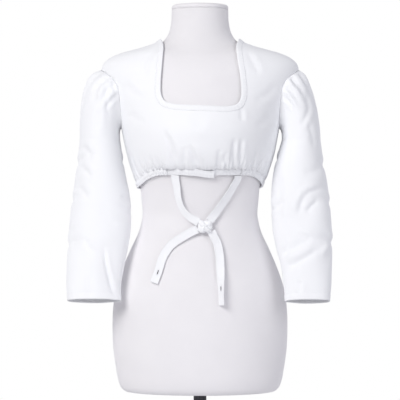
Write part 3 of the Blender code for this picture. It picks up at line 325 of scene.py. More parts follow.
# Largest soft folds of the sleeves, as troughs: share of the way round (0 inner, 0.25 front, 0.5 outer,
# 0.75 back) and height at both ends, depth and half the width
Fold = namedtuple("Fold", "turn height top_turn top_height depth width")
LEFT_FOLDS = tuple(
    Fold(*row)
    for row in (
        (0.10, 0.392, 0.20, 0.480, 0.0040, 0.011),
        (0.42, 0.640, 0.33, 0.672, 0.0030, 0.013),
        (0.44, 0.585, 0.36, 0.612, 0.0028, 0.012),
        (0.34, 0.470, 0.42, 0.510, 0.0026, 0.012),
        (0.60, 0.470, 0.86, 0.520, 0.0034, 0.013),
        (0.66, 0.600, 0.84, 0.570, 0.0030, 0.013),
    )
)
RIGHT_FOLDS = tuple(
    Fold(*row)
    for row in (
        (0.22, 0.540, 0.40, 0.592, 0.0036, 0.012),
        (0.14, 0.470, 0.36, 0.500, 0.0036, 0.012),
        (0.20, 0.500, 0.28, 0.560, 0.0026, 0.012),
        (0.38, 0.455, 0.46, 0.480, 0.0024, 0.011),
        (0.62, 0.500, 0.84, 0.470, 0.0034, 0.013),
        (0.66, 0.570, 0.86, 0.600, 0.0030, 0.013),
    )
)

# Neckline band: a narrow strip laid on the panels, along the neckline
NECK_BAND_WIDTH = 0.010

# Ties, from the casing down: across and up, clearance from the form, and turn about their own length
TiePoint = namedtuple("TiePoint", "across height clear turn")
TIE_WIDTH = 0.0160
TIE_WALL = 0.0014
TIES = {
    "tie_upper_left": (
        TiePoint(-0.0462, 0.6214, 0.0038, 0.0),
        TiePoint(-0.0458, 0.6140, 0.0038, -2.0),
        TiePoint(-0.0430, 0.5990, 0.0045, -14.0),
        TiePoint(-0.0385, 0.5730, 0.0062, -30.0),
        TiePoint(-0.0275, 0.5490, 0.0078, -32.0),
        TiePoint(0.0040, 0.5240, 0.0095, -10.0),
    ),
    "tie_upper_right": (
        TiePoint(0.0712, 0.6207, 0.0038, 0.0),
        TiePoint(0.0702, 0.6150, 0.0038, 1.0),
        TiePoint(0.0635, 0.6020, 0.0042, 6.0),
        TiePoint(0.0540, 0.5860, 0.0052, 12.0),
        TiePoint(0.0395, 0.5645, 0.0068, 16.0),
        TiePoint(0.0270, 0.5460, 0.0080, 14.0),
        TiePoint(0.0120, 0.5240, 0.0095, 4.0),
    ),
    "tie_end_left": (
        TiePoint(0.0060, 0.5200, 0.0095, 0.0),
        TiePoint(-0.0110, 0.5135, 0.0080, 8.0),
        TiePoint(-0.0330, 0.5010, 0.0062, 14.0),
        TiePoint(-0.0535, 0.4865, 0.0050, 16.0),
        TiePoint(-0.0690, 0.4640, 0.0044, 14.0),
        TiePoint(-0.0780, 0.4365, 0.0042, 10.0),
        TiePoint(-0.0860, 0.4140, 0.0046, 6.0),
    ),
    "tie_end_right": (
        TiePoint(0.0160, 0.5200, 0.0100, 0.0),
        TiePoint(0.0245, 0.5040, 0.0085, 0.0),
        TiePoint(0.0325, 0.4870, 0.0062, -2.0),
        TiePoint(0.0360, 0.4700, 0.0060, -6.0),
        TiePoint(0.0375, 0.4450, 0.0066, -16.0),
        TiePoint(0.0385, 0.4200, 0.0084, -42.0),
        TiePoint(0.0390, 0.3980, 0.0092, -60.0),
        TiePoint(0.0400, 0.3725, 0.0092, -62.0),
    ),
}
TIE_SAMPLES = 1000
KNOT_PLACE = (0.0090, 0.5205)
KNOT_HALF_SIZE = (0.0152, 0.0085, 0.0130)
KNOT_CLEAR = 0.0105
KNOT_SQUARENESS = 0.08
KNOT_WRAP_SLANT = 0.6
KNOT_WRAP_HALF_WIDTH = 0.42
KNOT_GROOVE_DEPTH = 0.16
KNOT_GROOVE_WIDTH = 0.13

# Finer steps of the cloth here
PANEL_SPLIT = 10
SEAM_ROWS = 40
UNDERARM_ROWS = 14
STRAP_FINE_ROWS = 46
SLEEVE_HALF_STEPS = 96
SLEEVE_HEAD_ROWS = 48
SLEEVE_ROWS = 112
CASING_FINE_STEP = 0.8
TIE_FINE_STEP = 0.0024

# Fine gathers between the main ones, next to the casing
FINE_GATHER_TURN = 3.3
FINE_GATHER_DEPTH = 0.0013
FINE_GATHER_REACH = 0.026
FLAT_FRONT_TURNS = (-27.0, 14.0)
FLAT_FRONT_SHARE = 0.30

# Seams draw the cloth in along their line
SEAM_DIP = 0.0007
SEAM_DIP_WIDTH = 0.0026
LEAST_LIFT = 0.0009

# Creases as seen from one side of the blouse: across and up along their paths, depth and half width.
# A negative depth is a ridge.
Crease = namedtuple("Crease", "view depth width path")
CREASE_LIP = 0.45
CREASE_LIP_AT = 1.9
CREASE_END = 0.30
CREASE_SAMPLES = 9
CREASE_FACING = (0.05, 0.45)
VIEWS = {
    "front": (0, (0.0, -1.0, 0.0)),
    "back": (0, (0.0, 1.0, 0.0)),
    "left": (1, (-1.0, 0.0, 0.0)),
    "right": (1, (1.0, 0.0, 0.0)),
}
BODICE_CREASES = (
    Crease("front", 0.0024, 0.0050, ((-0.0702, 0.708), (-0.0576, 0.683), (-0.0425, 0.640))),
    Crease("front", 0.0018, 0.0042, ((-0.0300, 0.676), (-0.0290, 0.640))),
    Crease("front", 0.0022, 0.0050, ((-0.0230, 0.680), (-0.0130, 0.660), (-0.0020, 0.638))),
    Crease("front", 0.0018, 0.0045, ((0.0380, 0.672), (0.0330, 0.638))),
    Crease("front", 0.0016, 0.0036, ((0.0470, 0.664), (0.0450, 0.638))),
    Crease("front", 0.0022, 0.0046, ((0.0657, 0.693), (0.0630, 0.664), (0.0614, 0.638))),
    Crease("front", 0.0022, 0.0044, ((0.0791, 0.693), (0.0750, 0.664), (0.0727, 0.638))),
    Crease("front", 0.0014, 0.0045, ((0.0784, 0.748), (0.0790, 0.719))),
    Crease("front", 0.0014, 0.0060, ((-0.0764, 0.875), (-0.1046, 0.831), (-0.1034, 0.804))),
    Crease("front", 0.0014, 0.0060, ((0.0876, 0.861), (0.1004, 0.838), (0.1144, 0.808))),
    Crease("front", 0.0014, 0.0070, ((-0.1480, 0.800), (-0.1230, 0.775), (-0.1000, 0.765))),
    Crease("front", 0.0014, 0.0070, ((0.1490, 0.796), (0.1240, 0.772), (0.1010, 0.762))),
    Crease("front", 0.0014, 0.0075, ((-0.1380, 0.742), (-0.1200, 0.726), (-0.1010, 0.722))),
    Crease("front", 0.0014, 0.0075, ((0.1400, 0.744), (0.1230, 0.722), (0.1030, 0.714))),
    Crease("front", -0.0011, 0.0100, ((-0.0350, 0.735), (0.0000, 0.700), (0.0300, 0.735))),
    Crease("back", 0.0016, 0.0065, ((-0.1480, 0.790), (-0.1220, 0.770), (-0.0950, 0.764))),
    Crease("back", 0.0016, 0.0065, ((0.1470, 0.794), (0.1240, 0.768), (0.1000, 0.760))),
    Crease("back", 0.0014, 0.0080, ((-0.1200, 0.735), (-0.0900, 0.722), (-0.0560, 0.724))),
    Crease("back", 0.0014, 0.0080, ((0.1240, 0.730), (0.0930, 0.716), (0.0640, 0.719))),
    Crease("back", 0.0018, 0.0050, ((-0.0650, 0.690), (-0.0620, 0.664), (-0.0600, 0.625))),
    Crease("back", 0.0020, 0.0052, ((0.0240, 0.684), (0.0220, 0.655), (0.0240, 0.620))),
    Crease("back", 0.0014, 0.0070, ((-0.0300, 0.815), (0.0000, 0.806), (0.0340, 0.813))),
)
LEFT_SLEEVE_CREASES = (
    Crease("front", 0.0032, 0.0042, ((-0.1857, 0.4903), (-0.1760, 0.4400), (-0.1616, 0.3860))),
    Crease("front", 0.0020, 0.0050, ((-0.2222, 0.5057), (-0.2140, 0.4860), (-0.2049, 0.4672))),
    Crease("front", 0.0022, 0.0060, ((-0.2300, 0.6800), (-0.2200, 0.6700), (-0.2070, 0.6540))),
    Crease("front", 0.0024, 0.0062, ((-0.2376, 0.6450), (-0.2250, 0.6330), (-0.2070, 0.6150))),
    Crease("front", 0.0022, 0.0062, ((-0.2390, 0.6000), (-0.2260, 0.5900), (-0.2110, 0.5730))),
    Crease("front", 0.0022, 0.0050, ((-0.1520, 0.5860), (-0.1430, 0.5740), (-0.1340, 0.5634))),
    Crease("front", 0.0016, 0.0080, ((-0.1900, 0.5600), (-0.1720, 0.5340), (-0.1530, 0.5230))),
    Crease("front", 0.0016, 0.0080, ((-0.2140, 0.4350), (-0.2100, 0.4150), (-0.2080, 0.3820))),
    Crease("front", 0.0020, 0.0046, ((-0.1953, 0.8231), (-0.2010, 0.7900), (-0.2030, 0.7520))),
    Crease("front", 0.0022, 0.0046, ((-0.1818, 0.8116), (-0.1800, 0.7700), (-0.1741, 0.7211))),
    Crease("front", 0.0018, 0.0036, ((-0.1703, 0.8077), (-0.1660, 0.7950), (-0.1645, 0.7780))),
    Crease("front", 0.0016, 0.0055, ((-0.1972, 0.7520), (-0.1960, 0.7300), (-0.1972, 0.7040))),
    Crease("left", 0.0024, 0.0070, ((-0.0500, 0.6620), (-0.0200, 0.6440), (0.0180, 0.6480))),
    Crease("left", 0.0022, 0.0065, ((-0.0620, 0.5900), (-0.0300, 0.5720), (0.0060, 0.5800))),
    Crease("left", 0.0026, 0.0070, ((-0.0780, 0.5050), (-0.0480, 0.4860), (-0.0160, 0.4940))),
    Crease("left", 0.0018, 0.0050, ((-0.0220, 0.8020), (-0.0260, 0.7700), (-0.0240, 0.7300))),
    Crease("left", 0.0020, 0.0050, ((0.0060, 0.8080), (0.0060, 0.7700), (0.0020, 0.7250))),
    Crease("back", 0.0026, 0.0070, ((-0.2330, 0.5560), (-0.2010, 0.5400), (-0.1640, 0.5480))),
    Crease("back", 0.0024, 0.0065, ((-0.1500, 0.6120), (-0.1850, 0.6240), (-0.2240, 0.6180))),
    Crease("back", 0.0028, 0.0055, ((-0.2280, 0.4640), (-0.1960, 0.4420), (-0.1640, 0.4440))),
    Crease("back", 0.0018, 0.0050, ((-0.1880, 0.8000), (-0.1900, 0.7700), (-0.1880, 0.7300))),
    Crease("right", 0.0022, 0.0060, ((-0.0640, 0.5700), (-0.0400, 0.5480), (-0.0180, 0.5540))),
    Crease("right", 0.0022, 0.0060, ((-0.0300, 0.6600), (0.0000, 0.6440), (0.0260, 0.6520))),
)
RIGHT_SLEEVE_CREASES = (
    Crease("front", 0.0024, 0.0046, ((0.2030, 0.5480), (0.2160, 0.5620), (0.2299, 0.5730))),
    Crease("front", 0.0028, 0.0055, ((0.1857, 0.5403), (0.2030, 0.5826), (0.2434, 0.5980))),
    Crease("front", 0.0020, 0.0050, ((0.1840, 0.5076), (0.1990, 0.5040), (0.2145, 0.4980))),
    Crease("front", -0.0034, 0.0070, ((0.1587, 0.4560), (0.1818, 0.4700), (0.2260, 0.4930))),
    Crease("front", 0.0034, 0.0060, ((0.1620, 0.4400), (0.1880, 0.4550), (0.2300, 0.4790))),
    Crease("front", 0.0018, 0.0045, ((0.1895, 0.4210), (0.1905, 0.4080), (0.1914, 0.3930))),
    Crease("front", -0.0018, 0.0050, ((0.2299, 0.4672), (0.2400, 0.4780), (0.2492, 0.4864))),
    Crease("front", 0.0020, 0.0058, ((0.1550, 0.6403), (0.1530, 0.5700), (0.1550, 0.5057))),
    Crease("front", 0.0022, 0.0050, ((0.1684, 0.5018), (0.1640, 0.4800), (0.1587, 0.4600))),
    Crease("front", 0.0016, 0.0080, ((0.2350, 0.6420), (0.2180, 0.6280), (0.1960, 0.6250))),
    Crease("front", 0.0018, 0.0034, ((0.1568, 0.8327), (0.1590, 0.8260), (0.1626, 0.8150))),
    Crease("front", 0.0020, 0.0044, ((0.1740, 0.8135), (0.1800, 0.8000), (0.1857, 0.7820))),
    Crease("front", 0.0022, 0.0048, ((0.2030, 0.7880), (0.2088, 0.7462), (0.1895, 0.7090))),
    Crease("front", 0.0018, 0.0052, ((0.2070, 0.7269), (0.2150, 0.7000), (0.2203, 0.6692))),
    Crease("right", 0.0024, 0.0070, ((-0.0480, 0.6560), (-0.0160, 0.6400), (0.0200, 0.6460))),
    Crease("right", 0.0022, 0.0065, ((-0.0600, 0.5860), (-0.0300, 0.5660), (0.0080, 0.5720))),
    Crease("right", 0.0026, 0.0070, ((-0.0780, 0.5100), (-0.0460, 0.4900), (-0.0140, 0.5000))),
    Crease("right", 0.0018, 0.0050, ((-0.0200, 0.8000), (-0.0240, 0.7700), (-0.0220, 0.7300))),
    Crease("right", 0.0020, 0.0050, ((0.0080, 0.8040), (0.0080, 0.7700), (0.0040, 0.7250))),
    Crease("back", 0.0026, 0.0070, ((0.2300, 0.5640), (0.1980, 0.5480), (0.1620, 0.5540))),
    Crease("back", 0.0024, 0.0065, ((0.1560, 0.6200), (0.1880, 0.6320), (0.2240, 0.6240))),
    Crease("back", 0.0028, 0.0055, ((0.2280, 0.4720), (0.2000, 0.4500), (0.1700, 0.4520))),
    Crease("back", 0.0018, 0.0050, ((0.1880, 0.7960), (0.1900, 0.7700), (0.1880, 0.7300))),
    Crease("left", 0.0022, 0.0060, ((-0.0640, 0.5760), (-0.0400, 0.5540), (-0.0180, 0.5600))),
    Crease("left", 0.0022, 0.0060, ((-0.0300, 0.6640), (0.0000, 0.6480), (0.0260, 0.6560))),
)

# Sleeve hems and the head's pleats, here at every row between the ones in the solids
HEM_DEPTH = 0.0130
HEM_RAISE = 0.00035
HEM_DRAW = 0.0004
PLEAT_ROWS = (0.0, 0.07, 0.16, 0.27, 0.40, 0.56)
PLEAT_STRENGTHS = (0.0, 0.35, 0.90, 0.80, 0.35, 0.0)
HEM_WAVES = ((3.0, 0.6, 0.0012), (5.0, 2.1, 0.0007))

# Rolled edge of the neckline: distance out from the neckline, and out from the inside of the panel
EdgePoint = namedtuple("EdgePoint", "width out")
NECK_ROLL = tuple(
    EdgePoint(*row)
    for row in (
        (0.0020, -0.0004),
        (0.0004, -0.0005),
        (-0.0006, 0.0001),
        (-0.0009, 0.0009),
        (-0.0004, 0.0018),
        (0.0008, 0.0021),
        (0.0030, 0.0021),
        (0.0060, 0.0020),
        (0.0082, 0.0017),
        (0.0096, 0.0018),
        (0.0102, 0.0013),
    )
)
NECK_STITCH_WIDTH = 0.0084
NECK_STITCH_OUT = 0.0021
NECK_PUCKERS = (0.0062, 0.0006)

# Casing's puckers and stitch lines
PUCKER_DEPTH = 0.0008
CASING_SHAPE = tuple(
    EdgePoint(*row)
    for row in (
        (0.02, 0.30),
        (0.00, 0.62),
        (0.05, 0.90),
        (0.13, 0.93),
        (0.19, 0.84),
        (0.30, 1.02),
        (0.50, 1.10),
        (0.70, 1.02),
        (0.81, 0.84),
        (0.87, 0.93),
        (0.95, 0.90),
        (1.00, 0.62),
        (0.98, 0.30),
        (0.85, 0.06),
        (0.50, 0.00),
        (0.15, 0.06),
    )
)
CASING_STITCH_SHARES = (0.19, 0.81)

# Ties: half a cross section as shares of the half width and half the wall, and their stitch lines
TIE_SHAPE = tuple(
    EdgePoint(*row)
    for row in (
        (-1.00, 0.00),
        (-0.98, 0.75),
        (-0.90, 1.00),
        (-0.80, 0.72),
        (-0.60, 0.95),
        (0.00, 1.00),
        (0.60, 0.95),
        (0.80, 0.72),
        (0.90, 1.00),
        (0.98, 0.75),
        (1.00, 0.00),
    )
)
TIE_STITCH_SHARE = 0.80
TIE_WRINKLE = 0.0006
BUTTONHOLES = {"tie_end_left": 0.4345, "tie_end_right": 0.4050}
BUTTONHOLE_LENGTH = 0.0105
BUTTONHOLE_HALF_WIDTH = 0.0016
BUTTONHOLE_STITCHES = 56

# Finer samples, and how cloth is welded and laid flat for its weave
SEAM_SAMPLES = 260
FLAT_RADIUS = 0.125
WELD = 1e-5
LOOP_SMOOTHING = 41
SEAM_JOIN = -0.0005
TUCK_REACH = 0.008
TUCK_DOWN = 0.0020
TUCK_IN = 0.0016
FOLD_START_FADE = 0.030
HEM_DRAW_WIDTH = 0.0016
HEM_WAVE_REACH = 0.030
NECK_STEP = 0.0015
NECK_WALL = 0.0005
TIE_TUCK = 0.0008
TIE_WRINKLE_PITCH = 230.0
TIE_STITCH_RAISE = 0.42
STITCH_SIDES = 6
STITCH_SHAPE = ((0.0, 0.35), (0.18, 0.88), (0.5, 1.0), (0.82, 0.88), (1.0, 0.35))
BUTTONHOLE_THREAD = 0.00026
SLIT_SIDES = 24

# Knot's fine folds
POLE_TRIM = 0.03
KNOT_FINE_RINGS = 90
KNOT_FINE_SIDES = 140
KNOT_FOLD = 0.030
KNOT_WRAP_FOLDS = 15.0
KNOT_BODY_FOLDS = 8.0
KNOT_WRAP_RAISE = 0.05

# Form and stand
FORM_FINE_SIDES = 128
FORM_FINE_ROWS = 200
CAP_FINE_ROWS = 14
TURNED_SIDES = 96
EDGE_STEPS = 6
POLE_EDGE = 0.0008

# Cloth as cut, before it is gathered, pleated or folded: width, length, and the area of its outline
Cut = namedtuple("Cut", "flat area")

# Scales of the cotton's slubs, mottling and crumpling, in repeats for each metre
SLUB_SCALE = 420.0
MOTTLE_SCALE = 22.0
CRUMPLE_SCALE = 26.0
WRINKLE_SCALE = 95.0

# Studio
SENSOR_WIDTH = 36.0
FLOOR_DEPTH = 0.020
FLOOR_GAP = 0.0003
LIGHT_AIM = (0.0, 0.0, 0.60)
LIGHT_SIZE = 1.6
KEY_PLACE = (-1.6, -2.5, 2.2)
FILL_PLACE = (2.2, -1.8, 1.3)
BACK_PLACE = (2.2, 2.2, 1.5)
KEY_COLOUR = (1.0, 0.995, 0.985)
FILL_COLOUR = (0.93, 0.94, 1.0)
SURROUND_COLOUR = (0.95, 0.94, 1.0)



class SmoothCurve:
    """Values that pass smoothly through a table's rows, over a rising position."""

    def __init__(self, positions, values):
        self.positions = np.asarray(positions, float)
        self.values = np.asarray(values, float)
        self.slopes = np.gradient(self.values, self.positions)

    def __call__(self, position):
        place = np.clip(position, self.positions[0], self.positions[-1])
        row = np.clip(np.searchsorted(self.positions, place, side="right") - 1, 0, len(self.positions) - 2)
        span = self.positions[row + 1] - self.positions[row]
        share = (place - self.positions[row]) / span
        return hermite(
            share,
            self.values[row],
            self.slopes[row] * span,
            self.values[row + 1],
            self.slopes[row + 1] * span,
        )


def hermite(share, start, start_slope, end, end_slope):
    """The cubic between two values with given slopes at its ends."""
    square = share * share
    cube = square * share
    return (
        (2 * cube - 3 * square + 1) * start
        + (cube - 2 * square + share) * start_slope
        + (3 * square - 2 * cube) * end
        + (cube - square) * end_slope
    )


def curves_of(rows, positions):
    """One smooth curve for each named column of a table."""
    return {name: SmoothCurve(positions, [getattr(row, name) for row in rows]) for name in rows[0]._fields}


def run_length(points):
    """Distance from the first point, along straight runs between the points."""
    steps = np.linalg.norm(np.diff(points, axis=0), axis=1)
    return np.concatenate([[0.0], np.cumsum(steps)])


def eased(share):
    """0 to 1 with level ends."""
    share = np.clip(share, 0.0, 1.0)
    return share * share * (3 - 2 * share)


def eased_between(position, start, end):
    return eased((position - start) / (end - start))


def unit(vectors):
    return vectors / np.linalg.norm(vectors, axis=-1, keepdims=True)


# The form's surface, by turn (0 right side, quarter turn front, half turn left side) and run up its side
FORM_RUN = run_length(np.array([(row.half_width, row.height) for row in FORM_SECTIONS]))
FORM = curves_of(FORM_SECTIONS, FORM_RUN)
FINE_RUN = np.linspace(0.0, FORM_RUN[-1], RUN_SAMPLES)
FINE_HEIGHT = np.maximum.accumulate(FORM["height"](FINE_RUN))
SHOULDER_RUN = FINE_RUN[np.argmax(FORM["half_width"](FINE_RUN))]
LIFTS = curves_of(BODICE_LIFTS, [row.height for row in BODICE_LIFTS])
HEM_HEIGHT = SmoothCurve([row.turn for row in HEM_EDGE], [row.height for row in HEM_EDGE])


def run_at_height(height):
    return np.interp(height, FINE_HEIGHT, FINE_RUN)


def run_at_neck_width(half_width):
    """Run up the side to where the shoulder has narrowed to this half width."""
    above = FINE_RUN[FINE_RUN > SHOULDER_RUN]
    return float(np.interp(-half_width, -FORM["half_width"](above), above))


def on_form(turn, run):
    turn, run = np.broadcast_arrays(turn, run)
    depth = np.where(np.sin(turn) >= 0, FORM["front"](run), FORM["back"](run))
    return np.stack(
        [FORM["half_width"](run) * np.cos(turn), -depth * np.sin(turn), FORM["height"](run)], axis=-1
    )


def form_directions(turn, run, step=1e-4):
    """Directions of rising turn and rising run on the form's surface."""
    by_turn = (on_form(turn + step, run) - on_form(turn - step, run)) / (2 * step)
    by_run = (on_form(turn, run + step) - on_form(turn, run - step)) / (2 * step)
    return by_turn, by_run


def in_directions(step, first, second):
    """Shares of two slanted directions that add up to a step."""
    first_square = np.sum(first * first, axis=1)
    second_square = np.sum(second * second, axis=1)
    slant = np.sum(first * second, axis=1)
    along_first, along_second = np.sum(step * first, axis=1), np.sum(step * second, axis=1)
    area = first_square * second_square - slant**2
    return (
        (second_square * along_first - slant * along_second) / area,
        (first_square * along_second - slant * along_first) / area,
    )


def form_normal(turn, run):
    by_turn, by_run = form_directions(turn, run)
    return unit(np.cross(by_run, by_turn))


def place_on_form(across, height, behind=False):
    """Turn and run of the point of the form's front, or back, at this place seen from the front."""
    run = run_at_height(height)
    turn = np.arccos(np.clip(across / FORM["half_width"](run), -1.0, 1.0))
    return (2 * math.pi - turn if behind else turn), run


def degrees_from_front(turn):
    """Turn from the middle of the front in degrees, positive to the right."""
    return (90.0 - np.degrees(turn) + 180.0) % 360.0 - 180.0


def back_gathers():
    """Gathers of the back, evenly counted and unevenly long and deep."""
    rows = []
    for number in range(BACK_GATHERS):
        turn = 90.0 + 180.0 * (number + 0.5) / BACK_GATHERS
        rows.append(
            Gather(
                turn + BACK_GATHER_SHIFT * math.sin(1.7 * number),
                turn + BACK_GATHER_LEAN * math.sin(1.1 * number + 0.4),
                BACK_GATHER_LENGTH * (1 + BACK_GATHER_UNEVEN * math.sin(2.4 * number + 0.7)),
                BACK_GATHER_DEPTH * (1 + BACK_GATHER_UNEVEN / 2 * math.cos(3.1 * number)),
                BACK_GATHER_WIDTH,
            )
        )
    return tuple(rows)


GATHERS = FRONT_GATHERS + back_gathers()


def gather_depth(turn, height):
    """How far the gathers push the cloth in, and a little out between them."""
    degrees = degrees_from_front(turn)
    above = height - (HEM_HEIGHT(degrees) + CASING_HEIGHT)
    total = -GATHER_CREST * (1 - eased(above / BACK_GATHER_LENGTH))
    for row in GATHERS:
        rise = np.clip(above / row.length, 0.0, 1.0)
        middle = row.turn + (row.top_turn - row.turn) * rise
        aside = (degrees - middle + 180.0) % 360.0 - 180.0
        total = total + row.depth * np.exp(-((aside / row.width) ** 2)) * (1 - eased(above / row.length))
    return total


def bodice_lift(turn, run):
    """Gap between the form and the inside of the bodice."""
    height = FORM["height"](run)
    side, face = np.cos(turn), np.sin(turn)
    lift = (
        LIFTS["front"](height) * np.maximum(face, 0) ** 2
        + LIFTS["back"](height) * np.maximum(-face, 0) ** 2
        + LIFTS["left"](height) * np.maximum(-side, 0) ** 2
        + LIFTS["right"](height) * np.maximum(side, 0) ** 2
    )
    return lift - gather_depth(turn, height)


def off_bodice(turn, run, out):
    """Point this far outside the inside face of the bodice."""
    lift = bodice_lift(turn, run) + out
    return on_form(turn, run) + form_normal(turn, run) * lift[..., None]


def patch(bottom, top, left, right, across, up, hold=1):
    """Grid of (turn, run) pairs spread between four edges that meet at their corners.

    A higher hold keeps the bends of the left and right edges closer to them.
    """
    across = np.asarray(across)[None, :, None]
    up = np.asarray(up)[:, None, None]
    spread = (1 - up) * bottom[None] + up * top[None]
    left_bend = left[:, None] - spread[:, :1]
    right_bend = right[:, None] - spread[:, -1:]
    return spread + (1 - across) ** hold * left_bend + across**hold * right_bend


class EdgeLine:
    """A smooth line on the form, through points given by turn and run, read by its length."""

    def __init__(self, turns, runs):
        self.turns, self.runs = turns, runs
        self.lengths = run_length(on_form(turns, runs))
        self.length = self.lengths[-1]

    def __call__(self, length):
        return np.interp(length, self.lengths, self.turns), np.interp(length, self.lengths, self.runs)


class Half:
    """The front or the back half of the bodice, with its edges as (turn, run) pairs.

    The corner lengths are where a neckline turns up from its lower stretch.
    """

    def __init__(self, behind):
        self.behind = behind
        self.depth = FORM["back" if behind else "front"]
        end_run = run_at_neck_width(NECK_HALF_WIDTH)
        end_height = float(FORM["height"](end_run))
        rows = BACK_NECK if behind else FRONT_NECK
        ends = [NeckPoint(side * NECK_HALF_WIDTH, end_height) for side in (-1, 1)]
        places = np.array([ends[0], *rows, ends[1]])
        curves = [SmoothCurve(run_length(places), places[:, column]) for column in (0, 1)]
        fine = np.linspace(0, run_length(places)[-1], LINE_SAMPLES)
        across, height = curves[0](fine), curves[1](fine)
        turns, runs = place_on_form(across, height, behind)
        turns[0], turns[-1] = self.side_turn(True, end_run), self.side_turn(False, end_run)
        self.neck_line = EdgeLine(turns, runs)
        low = height < height.min() + NECK_CORNER_RISE
        self.corner_lengths = np.interp(FRONT_NECK_CORNERS, across[low], self.neck_line.lengths[low])
        table = np.array([(row.height, row.back if behind else row.front) for row in ARMHOLE])
        seam_turns, seam_runs = np.radians(table[:, 1]), run_at_height(table[:, 0])
        rough = run_length(on_form(seam_turns, seam_runs))
        fine = np.linspace(0, rough[-1], LINE_SAMPLES)
        turns, runs = (SmoothCurve(rough, values)(fine) for values in (seam_turns, seam_runs))
        self.armhole_line = EdgeLine(turns, runs)

    def aside(self, angle, left):
        """Turn of a point this angle away from the side, on this half."""
        base = math.pi if left else (2 * math.pi if self.behind else 0.0)
        towards = 1.0 if left == self.behind else -1.0
        return base + towards * angle

    def side_turn(self, left, run):
        """Turn of the side or shoulder seam, half a gap clear of the other half."""
        return self.aside(SEAM_GAP / 2 / self.depth(run), left)

    def neck(self, length):
        return np.stack(self.neck_line(length), axis=-1)

    def armhole(self, share, left):
        """Armhole seam by the share of its length from the underarm to the shoulder."""
        angle, run = self.armhole_line(share * self.armhole_line.length)
        angle = np.maximum(angle, SEAM_GAP / 2 / self.depth(run))
        return np.stack([self.aside(angle, left), run], axis=-1)

    def side_edge(self, up, left):
        """Side seam up to the underarm, then the armhole seam up to the yoke line."""
        up = np.asarray(up)
        hem = HEM_HEIGHT(-90.0 if left else 90.0) + CASING_HEIGHT + SEAM_GAP
        underarm_run = run_at_height(ARMHOLE[0].height)
        hem_run = run_at_height(hem)
        seam_run = hem_run + (underarm_run - hem_run) * np.minimum(up / UNDERARM_SHARE, 1)
        seam = np.stack([self.side_turn(left, seam_run), seam_run], axis=-1)
        above = self.armhole(np.maximum(up - UNDERARM_SHARE, 0) / (1 - UNDERARM_SHARE) * YOKE_TURN, left)
        return np.where((up <= UNDERARM_SHARE)[:, None], seam, above)

    def hem_edge(self, across):
        start = self.side_turn(True, run_at_height(HEM_HEIGHT(-90.0)))
        end = self.side_turn(False, run_at_height(HEM_HEIGHT(90.0)))
        turn = start + (end - start) * np.asarray(across)
        height = HEM_HEIGHT(degrees_from_front(turn)) + CASING_HEIGHT + SEAM_GAP
        return np.stack([turn, run_at_height(height)], axis=-1)


def strap_shares(split=1):
    """Shares of a strap's width from the armhole to the neckline, each column split evenly."""
    return np.interp(np.arange(STRAP_COLUMNS * split + 1) / split, np.arange(STRAP_COLUMNS + 1), STRAP_SHARES)


def straight(start, end, shares):
    return start + (end - start) * np.asarray(shares)[:, None]


def fold_depth(folds, around, height, rim):
    """How far the sleeve's large folds push its wall in."""
    total = np.zeros_like(height)
    for row in folds:
        start = np.array([row.turn * rim, row.height])
        line = np.array([row.top_turn * rim, row.top_height]) - start
        place = np.stack(np.broadcast_arrays(around * rim, height), axis=-1) - start
        share = np.clip(place @ line / (line @ line), 0.0, 1.0)
        aside = np.linalg.norm(place - share[..., None] * line, axis=-1)
        total = total + row.depth * np.exp(-((aside / row.width) ** 2)) * (
            FOLD_ENDS + (1 - FOLD_ENDS) * np.sin(math.pi * share)
        )
    return total


def pleat_wave(around):
    """Pleats of the sleeve head: nothing under the arm, then waves up to the shoulder on both halves."""
    from_underarm = 1 - np.abs(1 - 2 * around)
    share = (from_underarm - PLEAT_START) / (1 - PLEAT_START)
    return np.where(share > 0, -np.cos(2 * math.pi * HEAD_PLEATS * share) * eased(share * PLEAT_RISE), 0.0)


def knot_middle():
    turn, run = place_on_form(*KNOT_PLACE)
    return on_form(turn, run) + form_normal(turn, run) * KNOT_CLEAR


def knot_swell(directions):
    """How far the knot reaches in each direction, as a share of its half size."""
    across, up = directions[..., 0], directions[..., 2]
    length = np.linalg.norm(directions, axis=-1)
    along = (across * math.cos(KNOT_WRAP_SLANT) + up * math.sin(KNOT_WRAP_SLANT)) / length
    from_groove = (np.abs(along) - KNOT_WRAP_HALF_WIDTH) / KNOT_GROOVE_WIDTH
    square = KNOT_SQUARENESS * np.cos(4 * np.arctan2(up, across))
    return 1 - square - KNOT_GROOVE_DEPTH * np.exp(-(from_groove**2))


def eased_over(position, ends):
    return eased_between(position, *ends)


def fine_wave(degrees):
    """Uneven run of small puckers round the casing, from -1 to 1."""
    phase = 2 * math.pi * degrees / FINE_GATHER_TURN
    return np.sin(phase + 1.3 * np.sin(0.21 * degrees) + 0.8 * np.sin(0.083 * degrees + 1.0))


def tightness(degrees):
    """1 where the casing is elasticated, less along its flat front stretch."""
    start, end = FLAT_FRONT_TURNS
    inside = eased_between(degrees, start - 5, start + 3) * (1 - eased_between(degrees, end - 3, end + 5))
    return 1 - (1 - FLAT_FRONT_SHARE) * inside


def fine_gathers(turn, height):
    degrees = degrees_from_front(turn)
    above = height - (HEM_HEIGHT(degrees) + CASING_HEIGHT)
    reach = FINE_GATHER_REACH * (1 + 0.45 * np.sin(0.57 * degrees) + 0.2 * np.sin(1.37 * degrees + 0.5))
    return FINE_GATHER_DEPTH * fine_wave(degrees) * tightness(degrees) * (1 - eased(above / reach))


def smooth_path(path):
    """Points along a smooth line through a crease's path."""
    path = np.array(path)
    length = run_length(path)
    if len(path) < 3:
        return path
    at = np.linspace(0, length[-1], CREASE_SAMPLES)
    return np.stack([SmoothCurve(length, path[:, column])(at) for column in (0, 1)], axis=-1)


